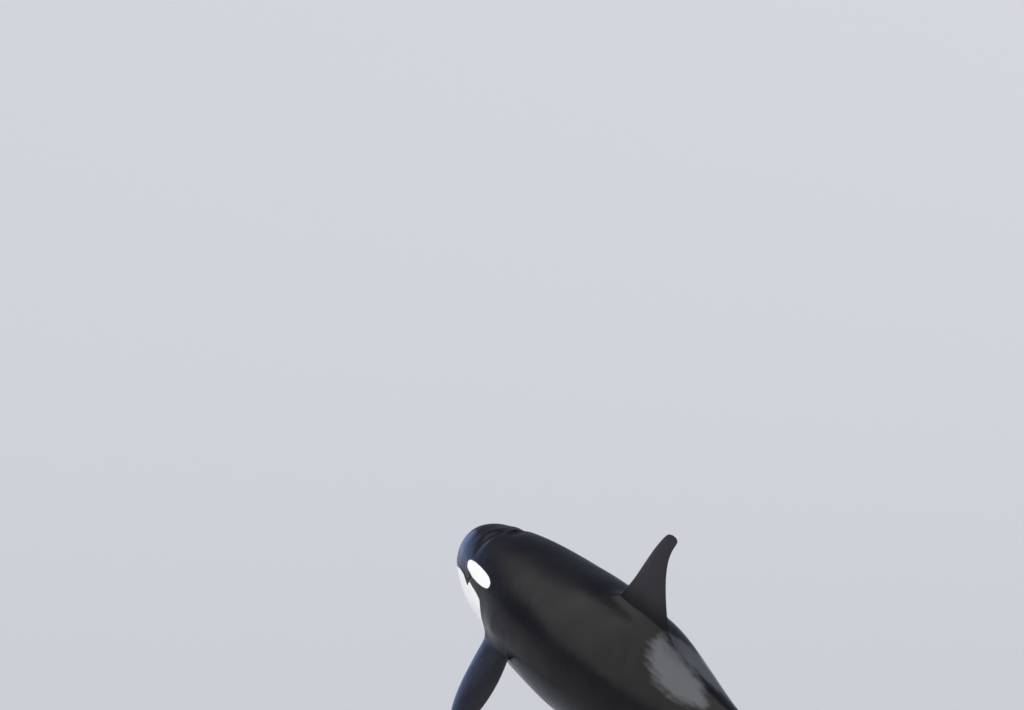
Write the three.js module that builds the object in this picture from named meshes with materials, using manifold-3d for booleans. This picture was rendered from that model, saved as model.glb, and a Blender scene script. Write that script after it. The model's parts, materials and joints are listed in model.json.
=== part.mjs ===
// A life-size orca on a plain display stand, in the pose of a whale that has just surfaced:
// nose up, the back tipped a little to its left, the tail easing towards level.
//
// The body is measured on a straight animal first, as a table of cross sections along its axis:
//   s runs from the snout back to the notch of the flukes,
//   y runs to the animal's left,
//   z runs up, from the axis towards the back.
// pose() then tips, bends and banks every point. In the finished model the snout points to -Y,
// the left side to +X and up is +Z, with the origin under the middle of the whole model.

import * as THREE from 'three';
import Module from 'manifold-3d';

const wasm = await Module();
wasm.setup();

// Driving dimensions, in millimetres and degrees

const GAP = 0.3;

const LENGTH = 6000;
const BODY_END = 5880;

// Cross sections of the straight body. Each is a superellipse that is rounder or more
// pointed above and below its centre, as the two roundness numbers say.
const SECTIONS = [
  { at: 0, back: 16, belly: -16, half: 32, centre: 0, above: 2.0, below: 2.0 },
  { at: 20, back: 88, belly: -56, half: 86, centre: 0, above: 2.0, below: 2.0 },
  { at: 60, back: 158, belly: -100, half: 138, centre: 4, above: 2.05, below: 2.03 },
  { at: 120, back: 243, belly: -146, half: 182, centre: 8, above: 2.1, below: 2.06 },
  { at: 220, back: 334, belly: -212, half: 238, centre: 10, above: 2.2, below: 2.12 },
  { at: 350, back: 397, belly: -290, half: 291, centre: 4, above: 2.23, below: 2.18 },
  { at: 500, back: 437, belly: -358, half: 338, centre: 0, above: 2.25, below: 2.22 },
  { at: 950, back: 531, belly: -452, half: 450, centre: 22, above: 2.1, below: 2.12 },
  { at: 1600, back: 590, belly: -557, half: 562, centre: 1, above: 2.02, below: 2.1 },
  { at: 2300, back: 640, belly: -615, half: 595, centre: 0, above: 1.95, below: 2.1 },
  { at: 2900, back: 637, belly: -598, half: 555, centre: 1, above: 1.89, below: 2.1 },
  { at: 3600, back: 533, belly: -482, half: 429, centre: 10, above: 1.82, below: 2.02 },
  { at: 4400, back: 365, belly: -328, half: 255, centre: 10, above: 1.68, below: 1.82 },
  { at: 5100, back: 242, belly: -221, half: 134, centre: 10, above: 1.51, below: 1.61 },
  { at: 5600, back: 146, belly: -127, half: 76, centre: 10, above: 1.54, below: 1.62 },
  { at: BODY_END, back: 40, belly: -35, half: 35, centre: 5, above: 2.0, below: 2.0 },
];
const BODY_RINGS = 48;
const BODY_SIDES = 32;

// Pose: the body is straight and nose up as far as the rear of the dorsal fin, then the
// tail bends in one arc.
const PIVOT_AT = 2600;
const PITCH = 22;
const TAIL_PITCH = 8;
const BEND_FROM = 3450;
const BEND_TO = 5450;
const BANK = 7;
const PIVOT_HEIGHT = 1190;

// Where the body is parted
const NECK_AT = 1100;
const TAIL_AT = 3560;

// Mouth
const MOUTH_CORNER_AT = 650;
const MOUTH_LINE = [[0, -26], [150, 8], [340, 42], [450, 58], [545, 56], [620, 28], [680, -12]];
const MOUTH_STEPS = 15;
const JAW_REAR = { at: 830, z: -520 };
const LIP_RADIUS = 15;
const LIP_STANDS_OUT = 7;
const MOUTH_GROOVE = 9;

// Eyes and lids
const EYE = { at: 675, z: 94, radius: 30, sunk: 21 };
const LIDS = { long: 37, high: 23, radius: 10, standsOut: 6 };

// Blowhole: one crescent slit on top of the head, its ends pointing forward
const BLOWHOLE = { at: 730, radius: 56, sweep: 68, offset: 10, rim: 17, rimOut: 6, groove: 10 };

// Dorsal fin, as its front and rear edges in side view, [s, z]
const DORSAL = {
  front: [[2250, 520], [2683, 648], [2803, 1095], [3156, 1462]],
  rear: [[3400, 520], [3301, 827], [3098, 1197], [3347, 1460]],
  cap: 66,
  thick: 0.125,
  rootFlare: 0.9,
};

// Flippers: broad paddles, measured out along the flipper and back across it
const FLIPPER = {
  root: { at: 1330, z: -255 },
  inward: 190,
  front: [[0, -175], [380, -265], [800, -325], [1045, -160]],
  rear: [[0, 200], [350, 320], [830, 390], [1095, 175]],
  cap: 112,
  thick: 0.15,
  rootFlare: 0.35,
  out: 0.66,
  down: 0.44,
  back: 0.61,
  twist: 18,
};

// Flukes, as the front and rear edges of one side in top view, [out, s]
const FLUKE = {
  front: [[0, 5190], [150, 5440], [520, 5560], [836, 5975]],
  rear: [[0, 5985], [150, 6110], [500, 5950], [842, 6040]],
  cap: 10,
  thick: 0.105,
  rootFlare: 0.55,
  tipRise: 45,
  height: 5,
};

// Stand
const BASE = { long: 2700, wide: 1300, high: 70, corner: 90, bevel: 8, centreY: 60 };
const ROD = { radius: 62, footRadius: 150, footHigh: 24, footBevel: 6, sides: 32 };
const RODS = [{ word: 'front', at: 1830 }, { word: 'rear', at: 3780 }];

const degrees = Math.PI / 180;

// Small helpers on numbers and points

function add(a, b, scale = 1) {
  return a.map((value, k) => value + scale * b[k]);
}

function cross(a, b) {
  return [
    a[1] * b[2] - a[2] * b[1],
    a[2] * b[0] - a[0] * b[2],
    a[0] * b[1] - a[1] * b[0],
  ];
}

function unit(a) {
  const size = Math.hypot(...a);
  return a.map((value) => value / size);
}

function bezier(points, t) {
  const u = 1 - t;
  const weights = [u * u * u, 3 * u * u * t, 3 * u * t * t, t * t * t];
  return points[0].map((_, k) => weights.reduce((sum, w, i) => sum + w * points[i][k], 0));
}

// A smooth curve through given points that never overshoots them
function smoothCurve(xs, ys) {
  const last = xs.length - 1;
  const slope = [];
  for (let i = 0; i < last; i += 1) {
    slope.push((ys[i + 1] - ys[i]) / (xs[i + 1] - xs[i]));
  }
  const tangent = [slope[0]];
  for (let i = 1; i < last; i += 1) {
    const turns = slope[i - 1] * slope[i] <= 0;
    tangent.push(turns ? 0 : 2 / (1 / slope[i - 1] + 1 / slope[i]));
  }
  tangent.push(slope[last - 1]);
  return (x) => {
    let i = 0;
    while (i < last - 1 && x > xs[i + 1]) {
      i += 1;
    }
    const step = xs[i + 1] - xs[i];
    const t = Math.min(Math.max((x - xs[i]) / step, 0), 1);
    const u = 1 - t;
    const start = u * u * (1 + 2 * t) * ys[i] + t * u * u * step * tangent[i];
    const finish = t * t * (3 - 2 * t) * ys[i + 1] - t * t * u * step * tangent[i + 1];
    return start + finish;
  };
}

// Pose

// The axis of the posed body at s: how far back and how far up it is from the pivot
function spine(s) {
  const pitch = PITCH * degrees;
  const straight = Math.min(s, BEND_FROM) - PIVOT_AT;
  let back = straight * Math.cos(pitch);
  let up = -straight * Math.sin(pitch);
  if (s <= BEND_FROM) {
    return { back, up, pitch };
  }
  const turn = (TAIL_PITCH - PITCH) * degrees / (BEND_TO - BEND_FROM);
  const bent = Math.min(s, BEND_TO) - BEND_FROM;
  const end = pitch + turn * bent;
  back += (Math.sin(end) - Math.sin(pitch)) / turn;
  up += (Math.cos(end) - Math.cos(pitch)) / turn;
  const beyond = Math.max(s - BEND_TO, 0);
  return { back: back + beyond * Math.cos(end), up: up - beyond * Math.sin(end), pitch: end };
}

function pose([s, y, z]) {
  const { back, up, pitch } = spine(s);
  const rear = back + z * Math.sin(pitch);
  const high = up + z * Math.cos(pitch);
  const bank = BANK * degrees;
  return [
    y * Math.cos(bank) + high * Math.sin(bank),
    rear,
    PIVOT_HEIGHT + high * Math.cos(bank) - y * Math.sin(bank),
  ];
}

// Body sections

const sectionCurves = {};
for (const key of ['back', 'belly', 'half', 'centre', 'above', 'below']) {
  const places = SECTIONS.map((section) => Math.sqrt(section.at));
  sectionCurves[key] = smoothCurve(places, SECTIONS.map((section) => section[key]));
}

// The cross section at s, made larger all round by grow
function sectionAt(s, grow = 0) {
  const place = Math.sqrt(Math.min(Math.max(s, 0), BODY_END));
  const value = (key) => sectionCurves[key](place);
  return {
    centre: value('centre'),
    up: value('back') - value('centre') + grow,
    down: value('centre') - value('belly') + grow,
    half: value('half') + grow,
    above: value('above'),
    below: value('below'),
  };
}

// A point on a cross section, at an angle from the top towards the left side
function sectionPoint(section, angle) {
  const c = Math.cos(angle);
  const e = Math.sin(angle);
  const power = 2 / (c >= 0 ? section.above : section.below);
  const reach = c >= 0 ? section.up : section.down;
  const y = section.half * Math.sign(e) * Math.abs(e) ** power;
  return [y, section.centre + reach * Math.sign(c) * Math.abs(c) ** power];
}

// How far out the side of the body is at s and height z
function sideAt(s, z) {
  const section = sectionAt(s);
  const rise = z - section.centre;
  const power = rise >= 0 ? section.above : section.below;
  const reach = rise >= 0 ? section.up : section.down;
  const part = Math.min(Math.abs(rise) / reach, 1);
  return section.half * (1 - part ** power) ** (1 / power);
}

// How high the back is at s and a distance y off the middle
function backAt(s, y) {
  const section = sectionAt(s);
  const part = Math.min(Math.abs(y) / section.half, 1);
  return section.centre + section.up * (1 - part ** section.above) ** (1 / section.above);
}

// The direction out of the skin at a point of the straight body
function outward([s, y, z]) {
  const step = 1;
  const field = (p) => {
    const section = sectionAt(p[0]);
    const rise = p[2] - section.centre;
    const power = rise >= 0 ? section.above : section.below;
    const reach = rise >= 0 ? section.up : section.down;
    return Math.abs(p[1] / section.half) ** power + Math.abs(rise / reach) ** power;
  };
  const here = [s, y, z];
  const gradient = [0, 1, 2].map((k) => {
    const ahead = here.map((value, i) => value + (i === k ? step : 0));
    const behind = here.map((value, i) => value - (i === k ? step : 0));
    return field(ahead) - field(behind);
  });
  return unit(gradient);
}

// Solids from rings of points

// A closed solid from a list of triangles
function solid(points, triangles) {
  const mesh = new wasm.Mesh({
    numProp: 3,
    vertProperties: Float32Array.from(points.flat()),
    triVerts: Uint32Array.from(triangles.flat()),
  });
  return new wasm.Manifold(mesh);
}

// The four-sided faces between two rings, each split so that the far half of the ring
// mirrors the near half
function band(triangles, a, b, size) {
  for (let j = 0; j < size; j += 1) {
    const k = (j + 1) % size;
    if (j < size / 2) {
      triangles.push([a + j, a + k, b + k], [a + j, b + k, b + j]);
    } else {
      triangles.push([a + j, a + k, b + j], [a + k, b + k, b + j]);
    }
  }
}

// A solid through a row of rings in the straight body's coordinates, closed by a point at
// each end. The rings run the way round that faces them outward.
function loft(rings, first, last) {
  const size = rings[0].length;
  const points = [...rings.flat(), first, last].map(pose);
  const start = points.length - 2;
  const triangles = [];
  for (let i = 0; i + 1 < rings.length; i += 1) {
    band(triangles, i * size, (i + 1) * size, size);
  }
  const end = (rings.length - 1) * size;
  for (let j = 0; j < size; j += 1) {
    const k = (j + 1) % size;
    triangles.push([start, k, j], [start + 1, end + j, end + k]);
  }
  return outwardFacing(points, triangles);
}

// The solid with its faces turned outward, whichever way the rings ran
function outwardFacing(points, triangles) {
  let volume = 0;
  for (const [a, b, c] of triangles) {
    const normal = cross(points[b], points[c]);
    volume += points[a].reduce((sum, value, k) => sum + value * normal[k], 0);
  }
  return solid(points, volume > 0 ? triangles : triangles.map(([a, b, c]) => [a, c, b]));
}

// A bead or groove that follows a path on the skin. Each path point has its own outward
// direction; sunk says how deep the middle of the bead lies under the path.
function bead(path, radius, sunk, sides, closed) {
  const last = path.length - 1;
  const rings = path.map((point, i) => {
    const before = path[closed ? (i + last) % path.length : Math.max(i - 1, 0)];
    const after = path[closed ? (i + 1) % path.length : Math.min(i + 1, last)];
    const along = unit(add(after, before, -1));
    const out = outward(point);
    const across = unit(cross(along, out));
    const lift = unit(cross(across, along));
    const middle = add(point, out, -sunk);
    const ring = [];
    for (let j = 0; j < sides; j += 1) {
      const angle = j / sides * 2 * Math.PI;
      const side = add(middle, across, radius * Math.sin(angle));
      ring.push(add(side, lift, radius * Math.cos(angle)));
    }
    return ring;
  });
  if (!closed) {
    return loft(rings, add(path[0], outward(path[0]), -sunk), add(path[last], outward(path[last]), -sunk));
  }
  const points = rings.flat().map(pose);
  const triangles = [];
  for (let i = 0; i < rings.length; i += 1) {
    band(triangles, i * sides, ((i + 1) % rings.length) * sides, sides);
  }
  return outwardFacing(points, triangles);
}

function largest(shape) {
  const pieces = shape.decompose();
  return pieces.reduce((best, piece) => (piece.volume() > best.volume() ? piece : best));
}

// Body

function bodySolid(grow) {
  const rings = [];
  for (let i = 0; i <= BODY_RINGS; i += 1) {
    const part = (i + 0.5) / (BODY_RINGS + 0.5);
    const s = BODY_END * part ** 1.45;
    const section = sectionAt(s, grow);
    const ring = [];
    for (let j = 0; j < BODY_SIDES; j += 1) {
      const [y, z] = sectionPoint(section, j / BODY_SIDES * 2 * Math.PI);
      ring.push([s + (i === BODY_RINGS ? grow : 0), y, z]);
    }
    rings.push(ring);
  }
  return loft(rings, [-grow, 0, 0], [BODY_END + 12 + grow, 0, 5]);
}

// A thin sheet of the gap's thickness across the straight body at one s
function crossCut(s) {
  const reach = 1200;
  const corners = [[-1, -1], [1, -1], [1, 1], [-1, 1]];
  const ring = (place) => corners.map(([y, z]) => [place, y * reach, z * reach]);
  const near = s - GAP / 2;
  const far = s + GAP / 2;
  return loft([ring(near), ring(far)], [near, 0, 0], [far, 0, 0]);
}

// Everything behind one s, as a block
function behind(s, length) {
  const reach = 1200;
  const corners = [[-1, -1], [1, -1], [1, 1], [-1, 1]];
  const ring = (place) => corners.map(([y, z]) => [place, y * reach, z * reach]);
  return loft([ring(s), ring(s + length)], [s, 0, 0], [s + length, 0, 0]);
}

// Mouth

const mouthHeight = smoothCurve(MOUTH_LINE.map((p) => p[0]), MOUTH_LINE.map((p) => p[1]));

// Where the mouth line crosses the middle of the snout
function mouthFront() {
  let s = 1;
  while (sectionAt(s).centre - sectionAt(s).down > mouthHeight(s)) {
    s += 1;
  }
  return s;
}

// The line of the lips on the skin, from the left corner round the snout to the right one
function mouthPath(steps) {
  const front = mouthFront();
  const path = [];
  for (let i = -steps; i <= steps; i += 1) {
    const u = i / steps;
    const s = front + (MOUTH_CORNER_AT - front) * Math.abs(u) ** 1.8;
    const z = mouthHeight(s);
    path.push([s, -Math.sign(u) * sideAt(s, z), z]);
  }
  return path;
}

// The thin sheet that parts the lower jaw from the head: back along the mouth line, then
// down to the throat
function jawCut() {
  const line = [];
  const steps = MOUTH_STEPS;
  for (let i = 0; i <= steps; i += 1) {
    const s = -60 + (MOUTH_CORNER_AT + 60) * i / steps;
    line.push([s, mouthHeight(Math.max(s, 0))]);
  }
  line.push([JAW_REAR.at, JAW_REAR.z]);
  const reach = 700;
  const rings = line.map(([s, z], i) => {
    const [s0, z0] = line[Math.max(i - 1, 0)];
    const [s1, z1] = line[Math.min(i + 1, line.length - 1)];
    const size = Math.hypot(s1 - s0, z1 - z0);
    const ds = -(z1 - z0) / size * GAP / 2;
    const dz = (s1 - s0) / size * GAP / 2;
    return [
      [s + ds, reach, z + dz], [s + ds, -reach, z + dz],
      [s - ds, -reach, z - dz], [s - ds, reach, z - dz],
    ];
  });
  const middle = ([s, z]) => [s, 0, z];
  return loft(rings, middle(line[0]), middle(line[line.length - 1]));
}

function lips() {
  return bead(mouthPath(MOUTH_STEPS), LIP_RADIUS, LIP_RADIUS - LIP_STANDS_OUT, 6, false);
}

function mouthGroove() {
  return bead(mouthPath(MOUTH_STEPS), MOUTH_GROOVE, -LIP_STANDS_OUT, 4, false);
}

// Eyes

function eyeMiddle(side) {
  const onSkin = [EYE.at, side * sideAt(EYE.at, EYE.z), EYE.z];
  return add(onSkin, outward(onSkin), -EYE.sunk);
}

function eyeBall(grow) {
  return new THREE.SphereGeometry(EYE.radius + grow, 16, 10);
}

function lidPath(side) {
  const steps = 14;
  const path = [];
  for (let i = 0; i < steps; i += 1) {
    const angle = i / steps * 2 * Math.PI;
    const s = EYE.at + LIDS.long * Math.cos(angle);
    const z = EYE.z + LIDS.high * Math.sin(angle);
    path.push([s, side * sideAt(s, z), z]);
  }
  return path;
}

function lids(side) {
  return bead(lidPath(side), LIDS.radius, LIDS.radius - LIDS.standsOut, 6, true);
}

// Blowhole

function blowholePath() {
  const steps = 8;
  const path = [];
  for (let i = 0; i <= steps; i += 1) {
    const angle = (2 * i / steps - 1) * BLOWHOLE.sweep * degrees;
    const s = BLOWHOLE.at - BLOWHOLE.radius * (1 - Math.cos(angle));
    const y = BLOWHOLE.offset + BLOWHOLE.radius * Math.sin(angle);
    path.push([s, y, backAt(s, y)]);
  }
  return path;
}

function blowholeRim() {
  return bead(blowholePath(), BLOWHOLE.rim, BLOWHOLE.rim - BLOWHOLE.rimOut, 6, false);
}

function blowholeSlit() {
  return bead(blowholePath(), BLOWHOLE.groove, -BLOWHOLE.rimOut / 2, 4, false);
}

// Fins

// Half the thickness of a fin section, as a part of its greatest thickness, at a part of
// the chord behind the front edge: rounded in front and thin behind
function finSection(part) {
  const foil = 1.4845 * Math.sqrt(part) - 0.63 * part - 1.758 * part ** 2;
  const taper = 1.4215 * part ** 3 - 0.518 * part ** 4;
  const edge = 0.14 * Math.sqrt(Math.max(4 * part * (1 - part), 0));
  return foil + taper + edge;
}

// A fin between two edge curves. place() turns a distance along the edges' plane and a
// height off that plane into a point of the straight body.
function fin(shape, place) {
  const steps = 13;
  const across = 9;
  const capRings = 3;
  const stations = [];
  for (let i = 0; i <= steps; i += 1) {
    const t = i / steps;
    stations.push({ front: bezier(shape.front, t), rear: bezier(shape.rear, t), t });
  }
  const tip = stations[steps];
  const below = stations[steps - 1];
  const middleOf = (station) => add(station.front, station.rear).map((value) => value / 2);
  const onward = unit(add(middleOf(tip), middleOf(below), -1));
  for (let i = 1; i < capRings; i += 1) {
    const angle = i / capRings * Math.PI / 2;
    const middle = add(middleOf(tip), onward, shape.cap * Math.sin(angle));
    const half = add(tip.rear, middleOf(tip), -1).map((value) => value * Math.cos(angle));
    stations.push({ front: add(middle, half, -1), rear: add(middle, half), t: 1 });
  }
  const rings = stations.map(({ front, rear, t }) => {
    const chord = Math.hypot(...add(rear, front, -1));
    const flare = 1 + shape.rootFlare * Math.max(1 - 3.2 * t, 0) ** 2;
    const thick = shape.thick * chord * flare;
    const ring = [];
    for (let j = 0; j < 2 * across; j += 1) {
      const side = j <= across ? 1 : -1;
      const place01 = (1 - Math.cos((j <= across ? j : 2 * across - j) / across * Math.PI)) / 2;
      const plane = add(front, add(rear, front, -1), place01);
      ring.push(place(plane, side * thick / 2 * finSection(place01)));
    }
    return ring;
  });
  const root = middleOf(stations[0]);
  const end = add(middleOf(tip), onward, shape.cap);
  return loft(rings, place(root, 0), place(end, 0));
}

function dorsalFin() {
  return fin(DORSAL, ([s, z], off) => [s, off, z]);
}

// The flipper's own directions: along it, across it to the rear, and off its upper face
function flipperAxes(side) {
  const along = unit([FLIPPER.back, side * FLIPPER.out, -FLIPPER.down]);
  const rearward = unit(add([1, 0, 0], along, -along[0]));
  const upper = cross(rearward, along).map((value) => -side * value);
  const turn = FLIPPER.twist * degrees;
  const chord = rearward.map((value, k) => value * Math.cos(turn) - upper[k] * Math.sin(turn));
  const normal = upper.map((value, k) => value * Math.cos(turn) + rearward[k] * Math.sin(turn));
  return { along, chord, normal };
}

function flipper(side) {
  const { along, chord, normal } = flipperAxes(side);
  const { at, z } = FLIPPER.root;
  const onSkin = [at, side * sideAt(at, z), z];
  const root = add(onSkin, along, -FLIPPER.inward);
  return fin(FLIPPER, ([out, back], off) => {
    const inPlane = add(add(root, along, out), chord, back);
    return add(inPlane, normal, off);
  });
}

function fluke(side) {
  const reach = FLUKE.rear[3][0];
  return fin(FLUKE, ([out, s], off) => {
    const rise = FLUKE.tipRise * (Math.max(out, 0) / reach) ** 2;
    return [s, side * (GAP / 2 + out), FLUKE.height + rise + off];
  });
}

// Stand

function roundedPlate(long, wide, high, corner, bevel) {
  const x = wide / 2 - bevel;
  const y = long / 2 - bevel;
  const shape = new THREE.Shape();
  shape.moveTo(-x + corner, -y);
  shape.lineTo(x - corner, -y);
  shape.quadraticCurveTo(x, -y, x, -y + corner);
  shape.lineTo(x, y - corner);
  shape.quadraticCurveTo(x, y, x - corner, y);
  shape.lineTo(-x + corner, y);
  shape.quadraticCurveTo(-x, y, -x, y - corner);
  shape.lineTo(-x, -y + corner);
  shape.quadraticCurveTo(-x, -y, -x + corner, -y);
  const options = {
    depth: high - 2 * bevel, bevelThickness: bevel, bevelSize: bevel, bevelSegments: 2,
    curveSegments: 6,
  };
  return new THREE.ExtrudeGeometry(shape, options).translate(0, 0, bevel);
}

// A round solid on an upright axis at x, y, from its outline of radius and height
function turned(outline, x, y) {
  const profile = outline.map(([radius, z]) => new THREE.Vector2(radius, z));
  const geometry = new THREE.LatheGeometry(profile, ROD.sides);
  geometry.rotateX(Math.PI / 2);
  return solidFromGeometry(geometry.translate(x, y, 0));
}

// Where the belly is lowest over the stand, at s
function bellyAt(s) {
  const section = sectionAt(s);
  return pose([s, 0, section.centre - section.down]);
}

// The round plate that a rod stands on
function rodFoot(at) {
  const [x, y] = bellyAt(at);
  const low = BASE.high + GAP;
  const high = low + ROD.footHigh;
  const wide = ROD.footRadius;
  const outline = [
    [0, low], [wide, low], [wide, high - ROD.footBevel], [wide - ROD.footBevel, high], [0, high],
  ];
  return turned(outline, x, y);
}

// A rod from its foot plate up to inside the body, then cut to the shape of the belly
function rod(at, body) {
  const [x, y, z] = bellyAt(at);
  const low = BASE.high + ROD.footHigh + 2 * GAP;
  const high = z + 2.5 * ROD.radius;
  const outline = [[0, low], [ROD.radius, low], [ROD.radius, high], [0, high]];
  return largest(turned(outline, x, y).subtract(body));
}

// Between three's geometry and the solids

function solidFromGeometry(geometry) {
  const source = geometry.clone();
  const place = source.attributes.position;
  const known = new Map();
  const points = [];
  const merged = [];
  for (let i = 0; i < place.count; i += 1) {
    const point = [place.getX(i), place.getY(i), place.getZ(i)];
    const key = point.map((value) => Math.round(value * 1e4)).join();
    if (!known.has(key)) {
      known.set(key, points.length);
      points.push(point);
    }
    merged.push(known.get(key));
  }
  const order = source.index ? Array.from(source.index.array) : merged.map((_, i) => i);
  const triangles = [];
  for (let i = 0; i < order.length; i += 3) {
    const [a, b, c] = [0, 1, 2].map((k) => merged[order[i + k]]);
    if (a !== b && b !== c && c !== a) {
      triangles.push([a, b, c]);
    }
  }
  return outwardFacing(points, triangles);
}

// Where each mesh has its own origin: the middle of its box
function meshFrom(name, shape, material) {
  const { vertProperties, triVerts, numProp } = shape.getMesh();
  const places = [];
  for (let i = 0; i < vertProperties.length; i += numProp) {
    places.push(vertProperties[i], vertProperties[i + 1], vertProperties[i + 2]);
  }
  const geometry = new THREE.BufferGeometry();
  geometry.setAttribute('position', new THREE.Float32BufferAttribute(places, 3));
  geometry.setIndex(Array.from(triVerts));
  geometry.computeBoundingBox();
  const middle = geometry.boundingBox.getCenter(new THREE.Vector3());
  geometry.translate(-middle.x, -middle.y, -middle.z);
  geometry.computeVertexNormals();
  const mesh = new THREE.Mesh(geometry, material);
  mesh.name = name;
  mesh.position.copy(middle);
  return mesh;
}

// Materials

const blackSkin = new THREE.MeshStandardMaterial({ color: 0x14171b, roughness: 0.22 });
const whiteSkin = new THREE.MeshStandardMaterial({ color: 0xe8eaea, roughness: 0.3 });
const eyeGloss = new THREE.MeshStandardMaterial({ color: 0x1b1410, roughness: 0.08 });
const steel = new THREE.MeshStandardMaterial({ color: 0xb4b6b8, roughness: 0.32, metalness: 1 });
const basePaint = new THREE.MeshStandardMaterial({ color: 0x3a3d40, roughness: 0.5 });

// The animal

function buildAnimal(grown) {
  const animal = new THREE.Group();
  let body = bodySolid(0).add(lips()).add(lids(1)).add(lids(-1)).add(blowholeRim());
  body = body.subtract(mouthGroove()).subtract(blowholeSlit());
  for (const [name, side] of [['eye_left', 1], ['eye_right', -1]]) {
    const middle = pose(eyeMiddle(side));
    const socket = eyeBall(GAP).translate(...middle);
    body = body.subtract(solidFromGeometry(socket));
    const eye = new THREE.Mesh(eyeBall(0), eyeGloss);
    eye.name = name;
    eye.position.set(...middle);
    animal.add(eye);
  }

  const beyondTail = behind(TAIL_AT - GAP / 2, LENGTH);
  const beyondNeck = behind(NECK_AT - GAP / 2, LENGTH);
  const headWhole = body.subtract(beyondNeck);
  const jawed = headWhole.subtract(jawCut()).decompose();
  jawed.sort((a, b) => b.volume() - a.volume());
  const torso = largest(body.intersect(behind(NECK_AT + GAP / 2, LENGTH)).subtract(beyondTail));
  const tail = largest(body.intersect(behind(TAIL_AT + GAP / 2, LENGTH)));

  animal.add(meshFrom('head', jawed[0], blackSkin));
  animal.add(meshFrom('lower_jaw', jawed[1], whiteSkin));
  animal.add(meshFrom('torso', torso, blackSkin));
  animal.add(meshFrom('tail_stock', tail, blackSkin));
  animal.add(meshFrom('dorsal_fin', largest(dorsalFin().subtract(grown)), blackSkin));
  for (const [word, side] of [['left', 1], ['right', -1]]) {
    animal.add(meshFrom(`flipper_${word}`, largest(flipper(side).subtract(grown)), blackSkin));
    animal.add(meshFrom(`fluke_${word}`, largest(fluke(side).subtract(grown)), blackSkin));
  }
  return animal;
}

function buildStand(grown) {
  const stand = new THREE.Group();
  const plate = roundedPlate(BASE.long, BASE.wide, BASE.high, BASE.corner, BASE.bevel);
  const base = meshFrom('stand_base', solidFromGeometry(plate), basePaint);
  base.position.y += BASE.centreY;
  stand.add(base);
  for (const { word, at } of RODS) {
    stand.add(meshFrom(`stand_foot_${word}`, rodFoot(at), steel));
    stand.add(meshFrom(`stand_rod_${word}`, rod(at, grown), steel));
  }
  return stand;
}

// The whole model, with the origin under the middle of its box
function buildDisplay() {
  const grown = bodySolid(GAP);
  const display = new THREE.Group();
  display.add(buildAnimal(grown), buildStand(grown));
  display.updateMatrixWorld(true);
  const box = new THREE.Box3().setFromObject(display, true);
  const middle = box.getCenter(new THREE.Vector3());
  display.position.set(-middle.x, -middle.y, -box.min.z);
  return display;
}

const display = buildDisplay();

export default display;
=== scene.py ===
# %% [markdown]
# A life-size orca on a display stand.
#
# The animal is a whale that has just come up: its nose is high, its back is tipped a little to
# its left, and its tail eases towards level. On a real orca everything is one smooth skin. It
# could be sculpted from a ball of clay, or joined from parts, but parts leave seams, so the
# whole animal is made here as one mesh. We build it straight first, because a straight animal
# is easy to measure, and bend it into its pose at the very end.

# %% Load the frame
import json
import math

import bmesh
import bpy
import numpy as np
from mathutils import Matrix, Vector

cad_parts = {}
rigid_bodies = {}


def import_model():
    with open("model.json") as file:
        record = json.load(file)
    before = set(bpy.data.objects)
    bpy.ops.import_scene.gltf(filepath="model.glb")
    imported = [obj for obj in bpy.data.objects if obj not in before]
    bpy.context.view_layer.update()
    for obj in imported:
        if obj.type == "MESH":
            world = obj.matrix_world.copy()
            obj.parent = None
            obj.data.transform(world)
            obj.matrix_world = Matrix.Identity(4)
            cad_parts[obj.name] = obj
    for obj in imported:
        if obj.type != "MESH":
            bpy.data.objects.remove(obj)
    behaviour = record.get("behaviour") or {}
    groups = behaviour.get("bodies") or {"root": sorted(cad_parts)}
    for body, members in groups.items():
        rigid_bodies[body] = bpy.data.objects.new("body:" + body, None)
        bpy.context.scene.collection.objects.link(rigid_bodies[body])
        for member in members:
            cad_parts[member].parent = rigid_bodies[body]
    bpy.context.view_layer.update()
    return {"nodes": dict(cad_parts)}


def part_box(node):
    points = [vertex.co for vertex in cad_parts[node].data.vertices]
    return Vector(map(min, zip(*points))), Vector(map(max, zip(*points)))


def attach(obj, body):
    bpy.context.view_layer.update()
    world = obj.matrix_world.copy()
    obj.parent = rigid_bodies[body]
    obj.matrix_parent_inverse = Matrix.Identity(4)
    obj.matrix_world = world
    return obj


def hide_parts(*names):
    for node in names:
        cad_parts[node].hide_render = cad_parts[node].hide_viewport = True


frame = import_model()
scene = bpy.context.scene
print("nodes in the frame:", sorted(frame["nodes"]))

# %% [markdown]
# The pose. Every point of the straight animal has three measures, all in metres:
# s back from the snout, y to the animal's left, and z up from the axis. The axis is straight
# and nose up as far as the dorsal fin, then bends in one arc. A skeleton of bones could bend
# it too, but one formula is enough for a model that never moves. The stand base tells us where
# the middle of the body is, because the whole model was shifted to stand over its origin.

# %% Pose
PIVOT_AT = 2.6
PIVOT_HEIGHT = 1.19
PITCH = math.radians(22)
TAIL_PITCH = math.radians(8)
BEND_FROM = 3.45
BEND_TO = 5.45
BANK = math.radians(7)
BASE_BEHIND_PIVOT = 0.06

base_low, base_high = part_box("stand_base")
PIVOT = Vector((
    (base_low.x + base_high.x) / 2,
    (base_low.y + base_high.y) / 2 - BASE_BEHIND_PIVOT,
    PIVOT_HEIGHT,
))
print("the pivot of the pose is at", [round(v, 4) for v in PIVOT])


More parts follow.
